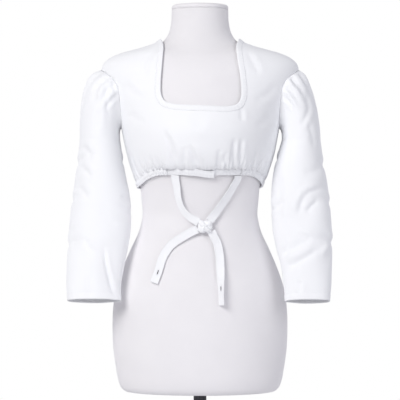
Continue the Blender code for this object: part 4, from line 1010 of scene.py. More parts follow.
def from_line(place, line):
    """Distance of each place from a line, above 0 to its left, and the share along it."""
    lengths = run_length(line)
    best = np.full(place.shape[:-1], np.inf)
    signed = np.zeros(place.shape[:-1])
    share = np.zeros(place.shape[:-1])
    for start, end, before in zip(line, line[1:], lengths):
        step = end - start
        span = np.linalg.norm(step)
        along = np.clip((place - start) @ step / span**2, 0.0, 1.0)
        aside = place - start - along[..., None] * step
        distance = np.linalg.norm(aside, axis=-1)
        turned = step[0] * aside[..., 1] - step[1] * aside[..., 0]
        nearer = distance < best
        best = np.where(nearer, distance, best)
        signed = np.where(nearer, np.where(turned < 0, -distance, distance), signed)
        share = np.where(nearer, (before + along * span) / lengths[-1], share)
    return signed, share


def crease_push(points, normals, creases):
    """How far creases press the cloth in, with a soft lip beside each."""
    total = np.zeros(points.shape[:-1])
    for row in creases:
        axis, facing = VIEWS[row.view]
        seen = eased_over(normals @ np.array(facing), CREASE_FACING)
        place = np.stack([points[..., axis], points[..., 2]], axis=-1)
        signed, share = from_line(place, smooth_path(row.path))
        ends = eased(share / CREASE_END) * eased((1 - share) / CREASE_END)
        trough = np.exp(-((signed / row.width) ** 2))
        lip = np.exp(-(((signed - CREASE_LIP_AT * row.width) / row.width) ** 2))
        total += row.depth * seen * ends * (trough - CREASE_LIP * lip)
    return total


def near_lines(points, line_points, width):
    """1 on the lines, falling to 0 over a few widths from them."""
    tree = KDTree(len(line_points))
    for number, point in enumerate(line_points):
        tree.insert(point, number)
    tree.balance()
    flat = points.reshape(-1, 3)
    distance = np.array([tree.find(point)[2] for point in flat]).reshape(points.shape[:-1])
    return np.exp(-((distance / width) ** 2))


class Cloth:
    """A cloth piece's middle surface: grids of points with flat coordinates, welded where they meet."""

    def __init__(self):
        self.points = []
        self.flat = []
        self.faces = []
        self.count = 0

    def add(self, points, flat, closed=False, capped=False):
        """Adds a grid of points; closed joins its last column to its first, capped closes its ends."""
        around = points.shape[1]
        if closed:
            points = np.concatenate([points, points[:, :1]], axis=1)
            flat = np.concatenate([flat, 2 * flat[:, -1:] - flat[:, -2:-1]], axis=1)
        rows, columns = points.shape[:2]
        numbers = self.count + np.arange(rows * columns).reshape(rows, columns)
        self.count += rows * columns
        self.points.append(points.reshape(-1, 3))
        self.flat.append(flat.reshape(-1, 2))
        quads = np.stack([numbers[:-1, :-1], numbers[:-1, 1:], numbers[1:, 1:], numbers[1:, :-1]], axis=-1)
        self.faces.extend(quads.reshape(-1, 4).tolist())
        if capped:
            self.faces.append(numbers[0, :around][::-1].tolist())
            self.faces.append(numbers[-1, :around].tolist())

    def piece(self, name, thickness=0.0):
        """Object of the welded surface, given a wall by its modifier where it has a thickness."""
        points, flat = np.concatenate(self.points), np.concatenate(self.flat)
        mesh = bpy.data.meshes.new(name)
        mesh.from_pydata(points.tolist(), [], self.faces)
        layer = mesh.uv_layers.new(name="cloth")
        corners = np.zeros(len(mesh.loops), np.int32)
        mesh.loops.foreach_get("vertex_index", corners)
        layer.data.foreach_set("uv", flat[corners].astype(np.float32).ravel())
        made = bmesh.new()
        made.from_mesh(mesh)
        bmesh.ops.remove_doubles(made, verts=made.verts, dist=WELD)
        bmesh.ops.recalc_face_normals(made, faces=made.faces)
        made.to_mesh(mesh)
        made.free()
        mesh.shade_smooth()
        piece = bpy.data.objects.new(name, mesh)
        bpy.context.scene.collection.objects.link(piece)
        if thickness:
            wall = piece.modifiers.new("Wall", "SOLIDIFY")
            wall.thickness = thickness
            wall.offset = 0.0
            wall.use_rim = True
        return piece


HALVES = {"front": Half(False), "back": Half(True)}


def seam_points():
    """Points along the side, shoulder and armhole seams, on the form."""
    found = []
    share = np.linspace(0, 1, SEAM_SAMPLES)
    front = HALVES["front"]
    for left in (True, False):
        for half in HALVES.values():
            found.append(half.armhole(share, left))
        low = run_at_height(HEM_HEIGHT(-90.0 if left else 90.0) + CASING_HEIGHT)
        for start, end in (
            (low, run_at_height(ARMHOLE[0].height)),
            (run_at_height(ARMHOLE[-1].height), run_at_neck_width(NECK_HALF_WIDTH)),
        ):
            runs = start + (end - start) * share
            found.append(np.stack([front.side_turn(left, runs), runs], axis=-1))
    places = np.concatenate(found)
    return off_bodice(places[:, 0], places[:, 1], CLOTH_WALL / 2)


def bodice_middle(grid, seams):
    """Middle of the bodice's wall over a grid of (turn, run) pairs, with its gathers, creases and seams."""
    turn, run = grid[..., 0], grid[..., 1]
    above = FORM["height"](run) - HEM_HEIGHT(degrees_from_front(turn)) - CASING_HEIGHT
    tuck = 1 - eased(above / TUCK_REACH)
    run = run - TUCK_DOWN * tuck
    base, normal = on_form(turn, run), form_normal(turn, run)
    lift = bodice_lift(turn, run) + CLOTH_WALL / 2 - TUCK_IN * tuck
    place = base + normal * lift[..., None]
    lift = lift - fine_gathers(turn, base[..., 2])
    lift = lift - crease_push(place, normal, BODICE_CREASES)
    lift = lift - SEAM_DIP * near_lines(place, seams, SEAM_DIP_WIDTH)
    return base + normal * np.maximum(lift, LEAST_LIFT)[..., None]


def flat_of(grid):
    """Flat coordinates of the cloth, in metres, for its weave."""
    return np.stack([grid[..., 0] * FLAT_RADIUS, grid[..., 1]], axis=-1)


def bodice_grids(half):
    """Grids of (turn, run) pairs of a panel: its lower block, its straps, and the middle too behind."""
    split = PANEL_SPLIT
    strap = strap_shares(split)
    middle = np.linspace(0, 1, MIDDLE_COLUMNS * split + 1)
    yoke = np.concatenate([half.side_edge([1.0], True), half.side_edge([1.0], False)])
    if half.behind:
        across = np.array([-BACK_YOKE_ACROSS, BACK_YOKE_ACROSS])
        height = np.full(2, FORM["height"](yoke[0, 1]))
        corners = np.stack(place_on_form(across, height, True), axis=-1)
        centre = straight(corners[0], corners[1], middle)
    else:
        corners = half.neck(half.corner_lengths)
        centre = half.neck(np.interp(middle, (0, 1), half.corner_lengths))
    top = np.concatenate(
        [
            straight(yoke[0], corners[0], strap),
            centre[1:-1],
            straight(corners[1], yoke[1], 1 - strap[::-1]),
        ]
    )
    across = np.linspace(0, 1, len(top))
    up = np.concatenate(
        [
            np.linspace(0, UNDERARM_SHARE, SEAM_ROWS + 1)[:-1],
            np.linspace(UNDERARM_SHARE, 1, UNDERARM_ROWS + 1),
        ]
    )
    sides = [half.side_edge(up, left) for left in (True, False)]
    grids = [patch(half.hem_edge(across), top, *sides, across, up, EDGE_HOLD)]
    up = np.linspace(0, 1, STRAP_FINE_ROWS + 1)
    inner_edges = []
    for number, left in enumerate((True, False)):
        armhole = half.armhole(YOKE_TURN + (1 - YOKE_TURN) * up, left)
        end = 0.0 if left else half.neck_line.length
        if half.behind:
            inner_edge = straight(corners[number], half.neck(end), up)
        else:
            start = half.corner_lengths[number]
            inner_edge = half.neck(start + (end - start) * up)
        seam_runs = armhole[-1, 1] + (inner_edge[-1, 1] - armhole[-1, 1]) * strap
        seam = np.stack([half.side_turn(left, seam_runs), seam_runs], axis=-1)
        grids.append(patch(straight(armhole[0], inner_edge[0], strap), seam, armhole, inner_edge, strap, up))
        inner_edges.append(inner_edge)
    if half.behind:
        neck = half.neck(half.neck_line.length * middle)
        grids.append(patch(centre, neck, *inner_edges, middle, up))
    return grids


def neck_directions(half, length):
    """Turn and run along the neckline, and their steps for each metre outwards from it."""
    place = half.neck(length)
    turn, run = place[:, 0], place[:, 1]
    onward = unit(np.gradient(on_form(turn, run), axis=0))
    outward = np.cross(onward, form_normal(turn, run)) * (-1.0 if half.behind else 1.0)
    outward[[0, -1], 1] = 0.0
    turn_step, run_step = in_directions(unit(outward), *form_directions(turn, run))
    turn_step[[0, -1]] = 0.0
    return turn, run, turn_step, run_step


def neck_line_points(half, width, out, count):
    """Points at a width out from the neckline, off the panel, with the directions out of the cloth."""
    length = np.linspace(0, half.neck_line.length, count)
    turn, run, turn_step, run_step = neck_directions(half, length)
    turn, run = turn + turn_step * width, run + run_step * width
    return off_bodice(turn, run, out), form_normal(turn, run), length


def smoothed_round(values):
    """Each value of a closed loop averaged with its near neighbours."""
    for _ in range(LOOP_SMOOTHING):
        values = (np.roll(values, 1, axis=0) + 2 * values + np.roll(values, -1, axis=0)) / 4
    return values


def armhole_loop(left):
    """Middle of the wall round the armhole, from the underarm by the front to the shoulder and back again.

    With it come the directions out of the cloth and on into the armhole, and the share of the way round.
    """
    rising = np.linspace(0, 1, SLEEVE_HALF_STEPS + 1)
    falling = rising[-2:0:-1]
    place = np.concatenate([HALVES["front"].armhole(rising, left), HALVES["back"].armhole(falling, left)])
    middle = off_bodice(place[:, 0], place[:, 1], CLOTH_WALL / 2)
    out = unit(smoothed_round(form_normal(place[:, 0], place[:, 1])))
    ahead = np.roll(middle, -1, axis=0) - np.roll(middle, 1, axis=0)
    onward = unit(smoothed_round(unit(np.cross(out, ahead))))
    facing = np.sign(np.sum(onward * (middle.mean(axis=0) - middle)))
    return middle, out, onward * facing, np.concatenate([rising / 2, 1 - falling / 2])


def sleeve_rings(left):
    """Middle of the sleeve's wall as rings from the armhole to the hem, with its outward directions."""
    table = LEFT_SLEEVE if left else RIGHT_SLEEVE
    side = -1.0 if left else 1.0
    rings = curves_of(table, [row.height for row in table])
    start, out, onward, around = armhole_loop(left)
    start = start + onward * SEAM_JOIN

    def ring(height):
        middle = (rings["outer"](height) + rings["inner"](height)) / 2
        half = (rings["outer"](height) - rings["inner"](height)) / 2
        turn = 2 * math.pi * around
        across = side * (middle - half * np.cos(turn))
        deep = -rings["half_depth"](height) * np.sin(turn)
        tipped = height - rings["tip"](height) * deep
        return np.stack([across, rings["middle"](height) + deep, tipped], axis=-1)

    top, hem = table[-1].height, table[0].height
    first = ring(top)
    reach = np.linalg.norm(first - start, axis=1)[:, None]
    to_shoulder = eased(1 - np.abs(1 - 2 * around))[:, None]
    head_outward = LEFT_HEAD_OUTWARD if left else RIGHT_HEAD_OUTWARD
    outward = UNDERARM_OUTWARD + (head_outward - UNDERARM_OUTWARD) * to_shoulder
    leave = (outward * out + HEAD_ONWARD * onward) * reach
    arrive = np.array([0.0, 0.0, -SLEEVE_DROP]) * reach
    shares = np.linspace(0, 1, SLEEVE_HEAD_ROWS + 1)[:-1]
    heights = np.linspace(top, hem, SLEEVE_ROWS + 1)
    head_loops = [hermite(share, start, leave, first, arrive) for share in shares]
    loops = np.array(head_loops + [ring(height) for height in heights])
    along = np.gradient(loops, axis=0)
    ahead = np.roll(loops, -1, axis=1) - np.roll(loops, 1, axis=1)
    normal = unit(np.cross(ahead, along)) * (-side)

    push = np.zeros(loops.shape[:2])
    head = SmoothCurve(PLEAT_ROWS, PLEAT_STRENGTHS)(shares) * (shares < PLEAT_ROWS[-1])
    push[: len(shares)] = PLEAT_DEPTH * np.outer(head, pleat_wave(around))
    rim_ring = table[SLEEVE_RIM_ROW]
    rim = math.pi * (rim_ring.outer - rim_ring.inner) / 2
    below = loops[len(shares) :]
    fade_in = eased((top - heights) / FOLD_START_FADE)[:, None]
    folds = LEFT_FOLDS if left else RIGHT_FOLDS
    push[len(shares) :] -= fade_in * fold_depth(folds, around, below[..., 2], rim)
    push -= crease_push(loops, normal, LEFT_SLEEVE_CREASES if left else RIGHT_SLEEVE_CREASES)
    above_hem = (heights - hem)[:, None]
    push[len(shares) :] += HEM_RAISE * (above_hem < HEM_DEPTH)
    push[len(shares) :] -= HEM_DRAW * np.exp(-(((above_hem - HEM_DEPTH) / HEM_DRAW_WIDTH) ** 2))
    near_hem = np.exp(-above_hem / HEM_WAVE_REACH)
    for waves, phase, depth in HEM_WAVES:
        push[len(shares) :] += depth * near_hem * np.sin(2 * math.pi * waves * around + phase)
    flat_along = run_length(loops[:, 0])[:, None] * np.ones(len(around))
    flat = np.stack([np.broadcast_to(around * 2 * rim, push.shape), flat_along], axis=-1)
    return loops + normal * push[..., None], normal, flat, heights


def casing_rings(start, end, lift, wall, bulge, puckered, lapped=False):
    """Cross sections along a stretch of the casing, between two turns from the front in degrees."""
    count = max(8, round((end - start) / CASING_FINE_STEP))
    degrees = np.linspace(start, end, count + 1)
    turn = np.radians(90.0 - degrees)
    rise, sink = np.zeros(count + 1), np.zeros(count + 1)
    if lapped:
        rise = eased_between(degrees, *LAP_RISE_TURNS)
        sink = LAP_DROOP * eased_between(degrees, *LAP_DROOP_TURNS)
    lower = HEM_HEIGHT((degrees + 180.0) % 360.0 - 180.0) - sink
    inside = lift + rise * (wall + LAP_GAP)
    wave = fine_wave(degrees) * puckered
    rows = []
    for point in CASING_SHAPE:
        edge = abs(2 * point.width - 1) ** 4
        run = run_at_height(lower + CASING_HEIGHT * point.width + PUCKER_DEPTH * 0.5 * wave * edge)
        thick = wall + bulge - PUCKER_DEPTH * wave * point.out
        out = inside + thick * point.out
        rows.append(on_form(turn, run) + form_normal(turn, run) * np.maximum(out, LEAST_LIFT)[:, None])
    return np.stack(rows, axis=1)


def tie_rings(points):
    """Cross sections along a tie, with its middle, sideways and outward directions."""
    places = np.array([(row.across, row.height) for row in points])
    length = run_length(places)
    curves = curves_of(points, length)

    def lines(stations):
        turn, run = place_on_form(curves["across"](stations), curves["height"](stations))
        normal = form_normal(turn, run)
        middle = on_form(turn, run) + normal * curves["clear"](stations)[:, None]
        onward = unit(np.gradient(middle, axis=0))
        sideways = unit(np.cross(onward, normal))
        normal = unit(np.cross(sideways, onward))
        angle = np.radians(curves["turn"](stations))[:, None]
        return (
            middle,
            sideways * np.cos(angle) + normal * np.sin(angle),
            normal * np.cos(angle) - sideways * np.sin(angle),
        )

    fine = np.linspace(0, length[-1], TIE_SAMPLES)
    middle, across, out = lines(fine)
    line = middle[:, None] + across[:, None] * (TIE_WIDTH * np.array([-0.5, 0.0, 0.5]))[:, None]
    from_knot = (line - knot_middle()) / (np.array(KNOT_HALF_SIZE) + TIE_WALL / 2 - TIE_TUCK)
    free = fine[(np.linalg.norm(from_knot, axis=-1) > knot_swell(from_knot)).all(axis=1)]
    stations = np.linspace(free[0], free[-1], round((free[-1] - free[0]) / TIE_FINE_STEP) + 1)
    middle, across, out = lines(stations)
    cup = TIE_WRINKLE * (1 + 0.6 * np.sin(stations * TIE_WRINKLE_PITCH))
    rings = []
    for sign, shape in ((1.0, TIE_SHAPE), (-1.0, TIE_SHAPE[-2:0:-1])):
        for point in shape:
            curl = cup * (point.width**2 - 0.5)
            rings.append(
                middle
                + across * (TIE_WIDTH / 2 * point.width)
                + out * (sign * point.out * TIE_WALL / 2 + curl)[:, None]
            )
    return np.stack(rings, axis=1), middle, across, out, stations


def ring_flat(rings):
    """Flat coordinates round and along cross sections."""
    round_it = run_length(rings[0])
    along = run_length(rings[:, 0])
    return np.stack(np.broadcast_arrays(along[:, None], round_it[None, :]), axis=-1)


def place_along(length, points, at):
    """Point, or direction, at a length along a line of them."""
    return np.array([np.interp(at, length, points[:, axis]) for axis in range(3)])


def stitches(name, lines, sizes):
    """One mesh of thread stitches laid along lines of (points, outward directions)."""
    made = Cloth()
    turn = np.linspace(0, 2 * math.pi, STITCH_SIDES, endpoint=False)
    for points, outs in lines:
        length = run_length(points)
        pitch = sizes.stitch_pitch
        for place in np.arange(pitch, length[-1] - pitch, pitch):
            ends = np.array([place - sizes.stitch_length / 2, place + sizes.stitch_length / 2])
            start, end = (place_along(length, points, at) for at in ends)
            out = unit(place_along(length, outs, place))
            onward = unit(end - start)
            aside = unit(np.cross(onward, out))
            rings = []
            for share, swell in STITCH_SHAPE:
                radius = sizes.stitch_radius * swell
                centre = start + (end - start) * share + out * sizes.stitch_radius * (swell - 1)
                rings.append(
                    centre + radius * (np.cos(turn)[:, None] * aside + np.sin(turn)[:, None] * out)
                )
            made.add(np.array(rings), np.zeros((len(rings), len(turn), 2)), closed=True, capped=True)
    return made.piece(name)


class Value:
    """A shader socket that stands in sums: each operation adds its Math node."""

    def __init__(self, finish, socket):
        self.finish = finish
        self.socket = socket

    def maths(self, operation, *values, clamp=False):
        settings = {"operation": operation, "use_clamp": clamp}
        return self.finish.node("ShaderNodeMath", settings, dict(enumerate(values)))

    def __add__(self, other):
        return self.maths("ADD", self, other)

    __radd__ = __add__

    def __sub__(self, other):
        return self.maths("SUBTRACT", self, other)

    def __rsub__(self, other):
        return self.maths("SUBTRACT", other, self)

    def __mul__(self, other):
        return self.maths("MULTIPLY", self, other)

    __rmul__ = __mul__

    def __truediv__(self, other):
        return self.maths("DIVIDE", self, other)

    def sine(self):
        return self.maths("SINE", self)

    def absolute(self):
        return self.maths("ABSOLUTE", self)

    def between(self):
        """Held between 0 and 1."""
        return self.maths("ADD", self, 0.0, clamp=True)


class Finish:
    """A surface finish: one Principled material whose changing sockets are fed by expressions."""

    def __init__(self, name, colour, roughness, **constants):
        self.material = bpy.data.materials.new(name)
        self.material.use_nodes = True
        self.tree = self.material.node_tree
        self.surface = self.tree.nodes["Principled BSDF"]
        self.feed(self.surface.inputs["Base Color"], (*colour, 1.0))
        self.feed(self.surface.inputs["Roughness"], roughness)
        for socket, value in constants.items():
            self.feed(self.surface.inputs[socket.replace("_", " ")], value)

    def node(self, kind, settings=None, sockets=None, output=0):
        """Adds a node with its settings, feeds its sockets and gives one of its outputs."""
        made = self.tree.nodes.new(kind)
        for setting, value in (settings or {}).items():
            setattr(made, setting, value)
        for socket, value in (sockets or {}).items():
            self.feed(made.inputs[socket], value)
        return Value(self, made.outputs[output])

    def feed(self, socket, value):
        if isinstance(value, Value):
            self.tree.links.new(value.socket, socket)
        else:
            socket.default_value = value

    def place(self):
        """Place in the row frame."""
        return self.node("ShaderNodeTexCoord", output="Object")

    def flat(self):
        """Flat coordinates of the cloth across and along it."""
        laid = self.node("ShaderNodeUVMap", {"uv_map": "cloth"})
        split = self.node("ShaderNodeSeparateXYZ", None, {0: laid})
        return split, Value(self, split.socket.node.outputs[1])

    def stretched(self, scales):
        """Place with each direction scaled."""
        return self.node("ShaderNodeVectorMath", {"operation": "MULTIPLY"}, {0: self.place(), 1: scales})

    def noise(self, scale, detail=3.0, where=None):
        where = where or self.place()
        return self.node("ShaderNodeTexNoise", None, {"Vector": where, "Scale": scale, "Detail": detail})

    def mixed(self, share, first, second):
        """Colour between two others."""
        sockets = {0: share, 6: (*first, 1.0), 7: (*second, 1.0)}
        return self.node("ShaderNodeMix", {"data_type": "RGBA"}, sockets, output=2)

    def bumped(self, height, distance, strength=1.0, over=None):
        """Normal from a height between 0 and 1, whose full depth is the distance."""
        sockets = {"Height": height, "Distance": distance, "Strength": strength}
        if over is not None:
            sockets["Normal"] = over
        return self.node("ShaderNodeBump", None, sockets)

    def colour_from(self, value):
        self.feed(self.surface.inputs["Base Color"], value)

    def roughness_from(self, value):
        self.feed(self.surface.inputs["Roughness"], value)

    def normal_from(self, value):
        self.feed(self.surface.inputs["Normal"], value)


def woven_finish(name, colour, shade, pitch, crumple):
    """Plain-weave cotton: crossing threads, slubs, faint mottling and soft crumpling."""
    cotton = Finish(name, colour, 0.85, Sheen_Weight=0.12, Sheen_Roughness=0.5, Specular_IOR_Level=0.25)
    across, along = cotton.flat()
    slub = cotton.noise(SLUB_SCALE, 4.0)
    threads = (across * (2 * math.pi / pitch)).sine() * (along * (2 * math.pi / pitch)).sine()
    weave = threads * 0.5 + 0.5
    mottle = cotton.noise(MOTTLE_SCALE, 5.0)
    shading = (mottle - 0.35) * 1.4 + weave * 0.12 + (slub - 0.5) * 0.3
    cotton.colour_from(cotton.mixed(shading.between(), shade, colour))
    cotton.roughness_from(0.80 + slub * 0.14 - weave * 0.05)
    soft = cotton.bumped(cotton.noise(CRUMPLE_SCALE, 4.0), crumple)
    fine = cotton.bumped(cotton.noise(WRINKLE_SCALE, 3.0), crumple * 0.3, over=soft)
    cotton.normal_from(cotton.bumped(weave * 0.8 + slub * 0.2, pitch * 0.18, over=fine))
    return cotton.material


def thread_finish(name, colour):
    """Twisted sewing thread."""
    thread = Finish(name, colour, 0.7, Sheen_Weight=0.2)
    sockets = {"Scale": 900.0, "Vector": thread.place()}
    twist = thread.node("ShaderNodeTexWave", {"bands_direction": "DIAGONAL"}, sockets, output="Fac")
    thread.colour_from(thread.mixed(twist * 0.6, colour, tuple(0.86 * part for part in colour)))
    thread.roughness_from(0.62 + twist * 0.2)
    thread.normal_from(thread.bumped(twist, 0.00006))
    return thread.material


def knitted_finish(name, colour, shade, pitch):
    """Fine jersey cover: rows of small loops, slightly mottled."""
    jersey = Finish(name, colour, 0.9, Sheen_Weight=0.08, Sheen_Roughness=0.6, Specular_IOR_Level=0.25)
    across, along = jersey.flat()
    wale = (across * (2 * math.pi / pitch)).sine().absolute()
    course = (along * (2 * math.pi / (pitch * 0.8)) + wale * 1.6).sine() * 0.5 + 0.5
    loops = wale * 0.55 + course * 0.45
    mottle = jersey.noise(MOTTLE_SCALE * 0.6, 5.0)
    jersey.colour_from(jersey.mixed(((mottle - 0.3) * 1.5 + loops * 0.12).between(), shade, colour))
    jersey.roughness_from(0.84 + loops * 0.1)
    soft = jersey.bumped(jersey.noise(CRUMPLE_SCALE * 0.4, 2.0), 0.0005)
    jersey.normal_from(jersey.bumped(loops, pitch * 0.14, over=soft))
    return jersey.material


def steel_finish(name, colour):
    """Drawn tube with a dark satin coat, faintly streaked along its length."""
    steel = Finish(name, colour, 0.35, Metallic=0.85, Coat_Weight=0.2)
    streak = steel.noise(38.0, 5.0, steel.stretched((10.0, 10.0, 0.3)))
    steel.colour_from(steel.mixed(streak, colour, tuple(min(1.0, 1.7 * part) for part in colour)))
    steel.roughness_from(0.28 + streak * 0.18)
    steel.normal_from(steel.bumped(streak, 0.00005))
    return steel.material


def painted_finish(name, colour, shade):
    """Powder-painted sheet steel with a fine peel and light scuffs."""
    paint = Finish(name, colour, 0.45, Coat_Weight=0.15, Coat_Roughness=0.4)
    peel = paint.noise(900.0, 2.0)
    scuff = ((paint.noise(22.0, 6.0) - 0.56) * 6.0).between()
    paint.colour_from(paint.mixed(scuff, colour, shade))
    paint.roughness_from(0.38 + scuff * 0.2 + peel * 0.08)
    paint.normal_from(paint.bumped(peel, 0.00008))
    return paint.material


def paper_finish(name, colour, shade):
    """Matt studio floor with a faint mottle."""
    paper = Finish(name, colour, 0.9)
    mottle = paper.noise(3.0, 5.0)
    paper.colour_from(paper.mixed(mottle, colour, shade))
    paper.roughness_from(0.82 + mottle * 0.12)
    paper.normal_from(paper.bumped(paper.noise(400.0, 2.0), 0.0001))
    return paper.material


def rgb(name, text, default):
    return bpy.props.FloatVectorProperty(
        name=name, description=text, subtype="COLOR", size=3, min=0.0, max=1.0, default=default
    )


def size(name, text, default):
    return bpy.props.FloatProperty(
        name=name, description=text, default=default, min=0.0, subtype="DISTANCE", unit="LENGTH", precision=5
    )


class BlouseSizes(bpy.types.PropertyGroup):
    """Sizes of the cloth and its sewing."""

    wall: size("Cloth wall", "Thickness of the cotton", 0.0011)
    weave_pitch: size("Weave pitch", "Distance between threads of the same lie", 0.0009)
    knit_pitch: size("Knit pitch", "Distance between the wales of the form's cover", 0.0012)
    crumple: size("Crumple", "Depth of the softest crumpling of the cotton", 0.0009)
    stitch_length: size("Stitch length", "Length of a stitch that shows", 0.0022)
    stitch_pitch: size("Stitch pitch", "Distance from stitch to stitch", 0.0029)
    stitch_radius: size("Thread radius", "Half the thickness of the sewing thread", 0.00022)


class BlouseColours(bpy.types.PropertyGroup):
    """Colours of the blouse, the form, the stand and the studio."""

    cotton: rgb("Cotton", "Bleached cotton", (0.93, 0.935, 0.95))
    cotton_shade: rgb("Cotton shade", "Thinner and shaded places of the cotton", (0.86, 0.87, 0.91))
    thread: rgb("Thread", "Sewing thread", (0.90, 0.90, 0.93))
    # Dark colour painted as the shade inside the buttonhole slits
    buttonhole_shade: rgb("Buttonhole", "Inside of the worked buttonholes", (0.07, 0.07, 0.08))
    jersey: rgb("Cover", "Cover of the dress form", (0.895, 0.88, 0.895))
    jersey_shade: rgb("Cover shade", "Mottling of the cover", (0.85, 0.835, 0.855))
    pole: rgb("Pole", "Coat of the pole", (0.05, 0.05, 0.055))
    foot: rgb("Foot", "Paint of the foot", (0.74, 0.74, 0.75))
    foot_shade: rgb("Foot shade", "Scuffs of the foot's paint", (0.62, 0.62, 0.63))
    floor: rgb("Floor", "Studio floor", (0.90, 0.90, 0.91))
    floor_shade: rgb("Floor shade", "Mottling of the floor", (0.86, 0.86, 0.87))


class StudioSizes(bpy.types.PropertyGroup):
    """Camera and lights of the studio."""

    camera_distance: size("Camera distance", "From the camera to the form's middle", 3.8)
    camera_height: size("Camera height", "Height of the camera", 0.573)
    view_width: size("View width", "Width that the picture takes in at the form's middle", 0.78)
    floor_radius: size("Floor radius", "Radius of the floor", 1.5)
    key_power: bpy.props.FloatProperty(
        name="Key light", description="Power of the soft light at the front left", default=71.0, unit="POWER"
    )
    fill_power: bpy.props.FloatProperty(
        name="Fill light",
        description="Power of the bluish light at the front right",
        default=18.0,
        unit="POWER",
    )
    back_power: bpy.props.FloatProperty(
        name="Back lights", description="Power of each of the two lights behind", default=24.0, unit="POWER"
    )
    surround: bpy.props.FloatProperty(
        name="Surround", description="Strength of the light from all round", default=0.36, min=0.0
    )


def put(piece, material, slot, *nodes):
    """Gives a piece its finish, and sets it on the part in place of its solids."""
    piece.data.materials.append(material)
    if nodes:
        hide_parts(*nodes)
    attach(piece, "root")
    return piece


def cotton_of(context):
    """The cotton's finish, made once."""
    colours, sizes = context.scene.blouse_colours, context.scene.blouse_sizes
    made = bpy.data.materials.get("cotton")
    return made or woven_finish(
        "cotton", tuple(colours.cotton), tuple(colours.cotton_shade), sizes.weave_pitch, sizes.crumple
    )


def thread_of(context):
    made = bpy.data.materials.get("thread")
    return made or thread_finish("thread", tuple(context.scene.blouse_colours.thread))


def lathe(profile, sides=TURNED_SIDES):
    """Closed body turned about the vertical through (radius, height) points off the axis."""
    turn = np.linspace(0, 2 * math.pi, sides, endpoint=False)
    rings = np.array(
        [
            np.stack([radius * np.cos(turn), radius * np.sin(turn), np.full(sides, height)], axis=-1)
            for radius, height in profile
        ]
    )
    made = Cloth()
    made.add(rings, ring_flat(rings), closed=True, capped=True)
    return made


def rounded_profile(radius, low, high, edge):
    """Profile of a disc whose edges are quarter rounds."""
    bend = np.linspace(0, math.pi / 2, EDGE_STEPS)
    lower = [(radius - edge + edge * math.sin(a), low + edge - edge * math.cos(a)) for a in bend]
    upper = [(radius - edge + edge * math.cos(a), high - edge + edge * math.sin(a)) for a in bend]
    return [(0.001, low), *lower, *upper, (0.001, high)]


class BLOUSE_OT_form(bpy.types.Operator):
    """Smooth covered torso and the cap on its neck"""

    bl_idname = "blouse.form"
    bl_label = "Dress form"

    def execute(self, context):
        colours, sizes = context.scene.blouse_colours, context.scene.blouse_sizes
        cover = knitted_finish(
            "form_cover", tuple(colours.jersey), tuple(colours.jersey_shade), sizes.knit_pitch
        )
        turn = np.linspace(0, 2 * math.pi, FORM_FINE_SIDES, endpoint=False)
        runs = np.linspace(0, FORM_RUN[-1], FORM_FINE_ROWS)
        grid_turn, grid_run = np.meshgrid(turn, runs)
        body = Cloth()
        flat = np.stack([grid_turn * FLAT_RADIUS, grid_run], axis=-1)
        body.add(on_form(grid_turn, grid_run), flat, closed=True, capped=True)
        put(body.piece("form_cover"), cover, "form_jersey", "form_body")

        neck = FORM_SECTIONS[-1]
        rises = [row.rise for row in CAP_SECTIONS]
        shares = [row.share for row in CAP_SECTIONS]
        length = run_length(np.stack([rises, np.array(shares) * neck.half_width], axis=-1))
        fine = np.linspace(0, length[-1], CAP_FINE_ROWS)
        rise, share = SmoothCurve(length, rises)(fine), SmoothCurve(length, shares)(fine)
        depth = np.where(np.sin(turn) >= 0, neck.front, neck.back)
        rings = np.stack(
            np.broadcast_arrays(
                share[:, None] * neck.half_width * np.cos(turn),
                -share[:, None] * depth * np.sin(turn),
                neck.height + CAP_GAP + rise[:, None],
            ),
            axis=-1,
        )
        cap = Cloth()
        cap.add(rings, ring_flat(rings), closed=True, capped=True)
        put(cap.piece("form_cap"), cover, "form_cap", "form_neck_cap")
        return {"FINISHED"}


class BLOUSE_OT_stand(bpy.types.Operator):
    """Pole, its collar and the round foot"""

    bl_idname = "blouse.stand"
    bl_label = "Stand"

    def execute(self, context):
        colours = context.scene.blouse_colours
        paint = painted_finish("foot_paint", tuple(colours.foot), tuple(colours.foot_shade))
        steel = steel_finish("pole_steel", tuple(colours.pole))
        low, high = FOOT_BOX
        foot = lathe(rounded_profile(high.x, low.z, high.z, FOOT_EDGE))
        put(foot.piece("foot"), paint, "foot_paint", "stand_foot")
        low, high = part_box("stand_collar")
        collar = lathe(rounded_profile(high.x, low.z, high.z, FOOT_EDGE))
        put(collar.piece("collar"), paint, "foot_paint", "stand_collar")
        low, high = POLE_BOX
        pole = lathe(rounded_profile(high.x, low.z, high.z, POLE_EDGE))
        put(pole.piece("pole"), steel, "pole_steel", "stand_pole")
        return {"FINISHED"}


class BLOUSE_OT_bodice(bpy.types.Operator):
    """Front and back panels, gathered into the casing"""

    bl_idname = "blouse.bodice"
    bl_label = "Bodice panels"

    def execute(self, context):
        cotton, wall = cotton_of(context), context.scene.blouse_sizes.wall
        seams = seam_points()
        for name, half in HALVES.items():
            panel = Cloth()
            for grid in bodice_grids(half):
                panel.add(bodice_middle(grid, seams), flat_of(grid))
            piece = put(panel.piece(f"panel_{name}", wall), cotton, "cotton", f"bodice_{name}")
        return {"FINISHED"}


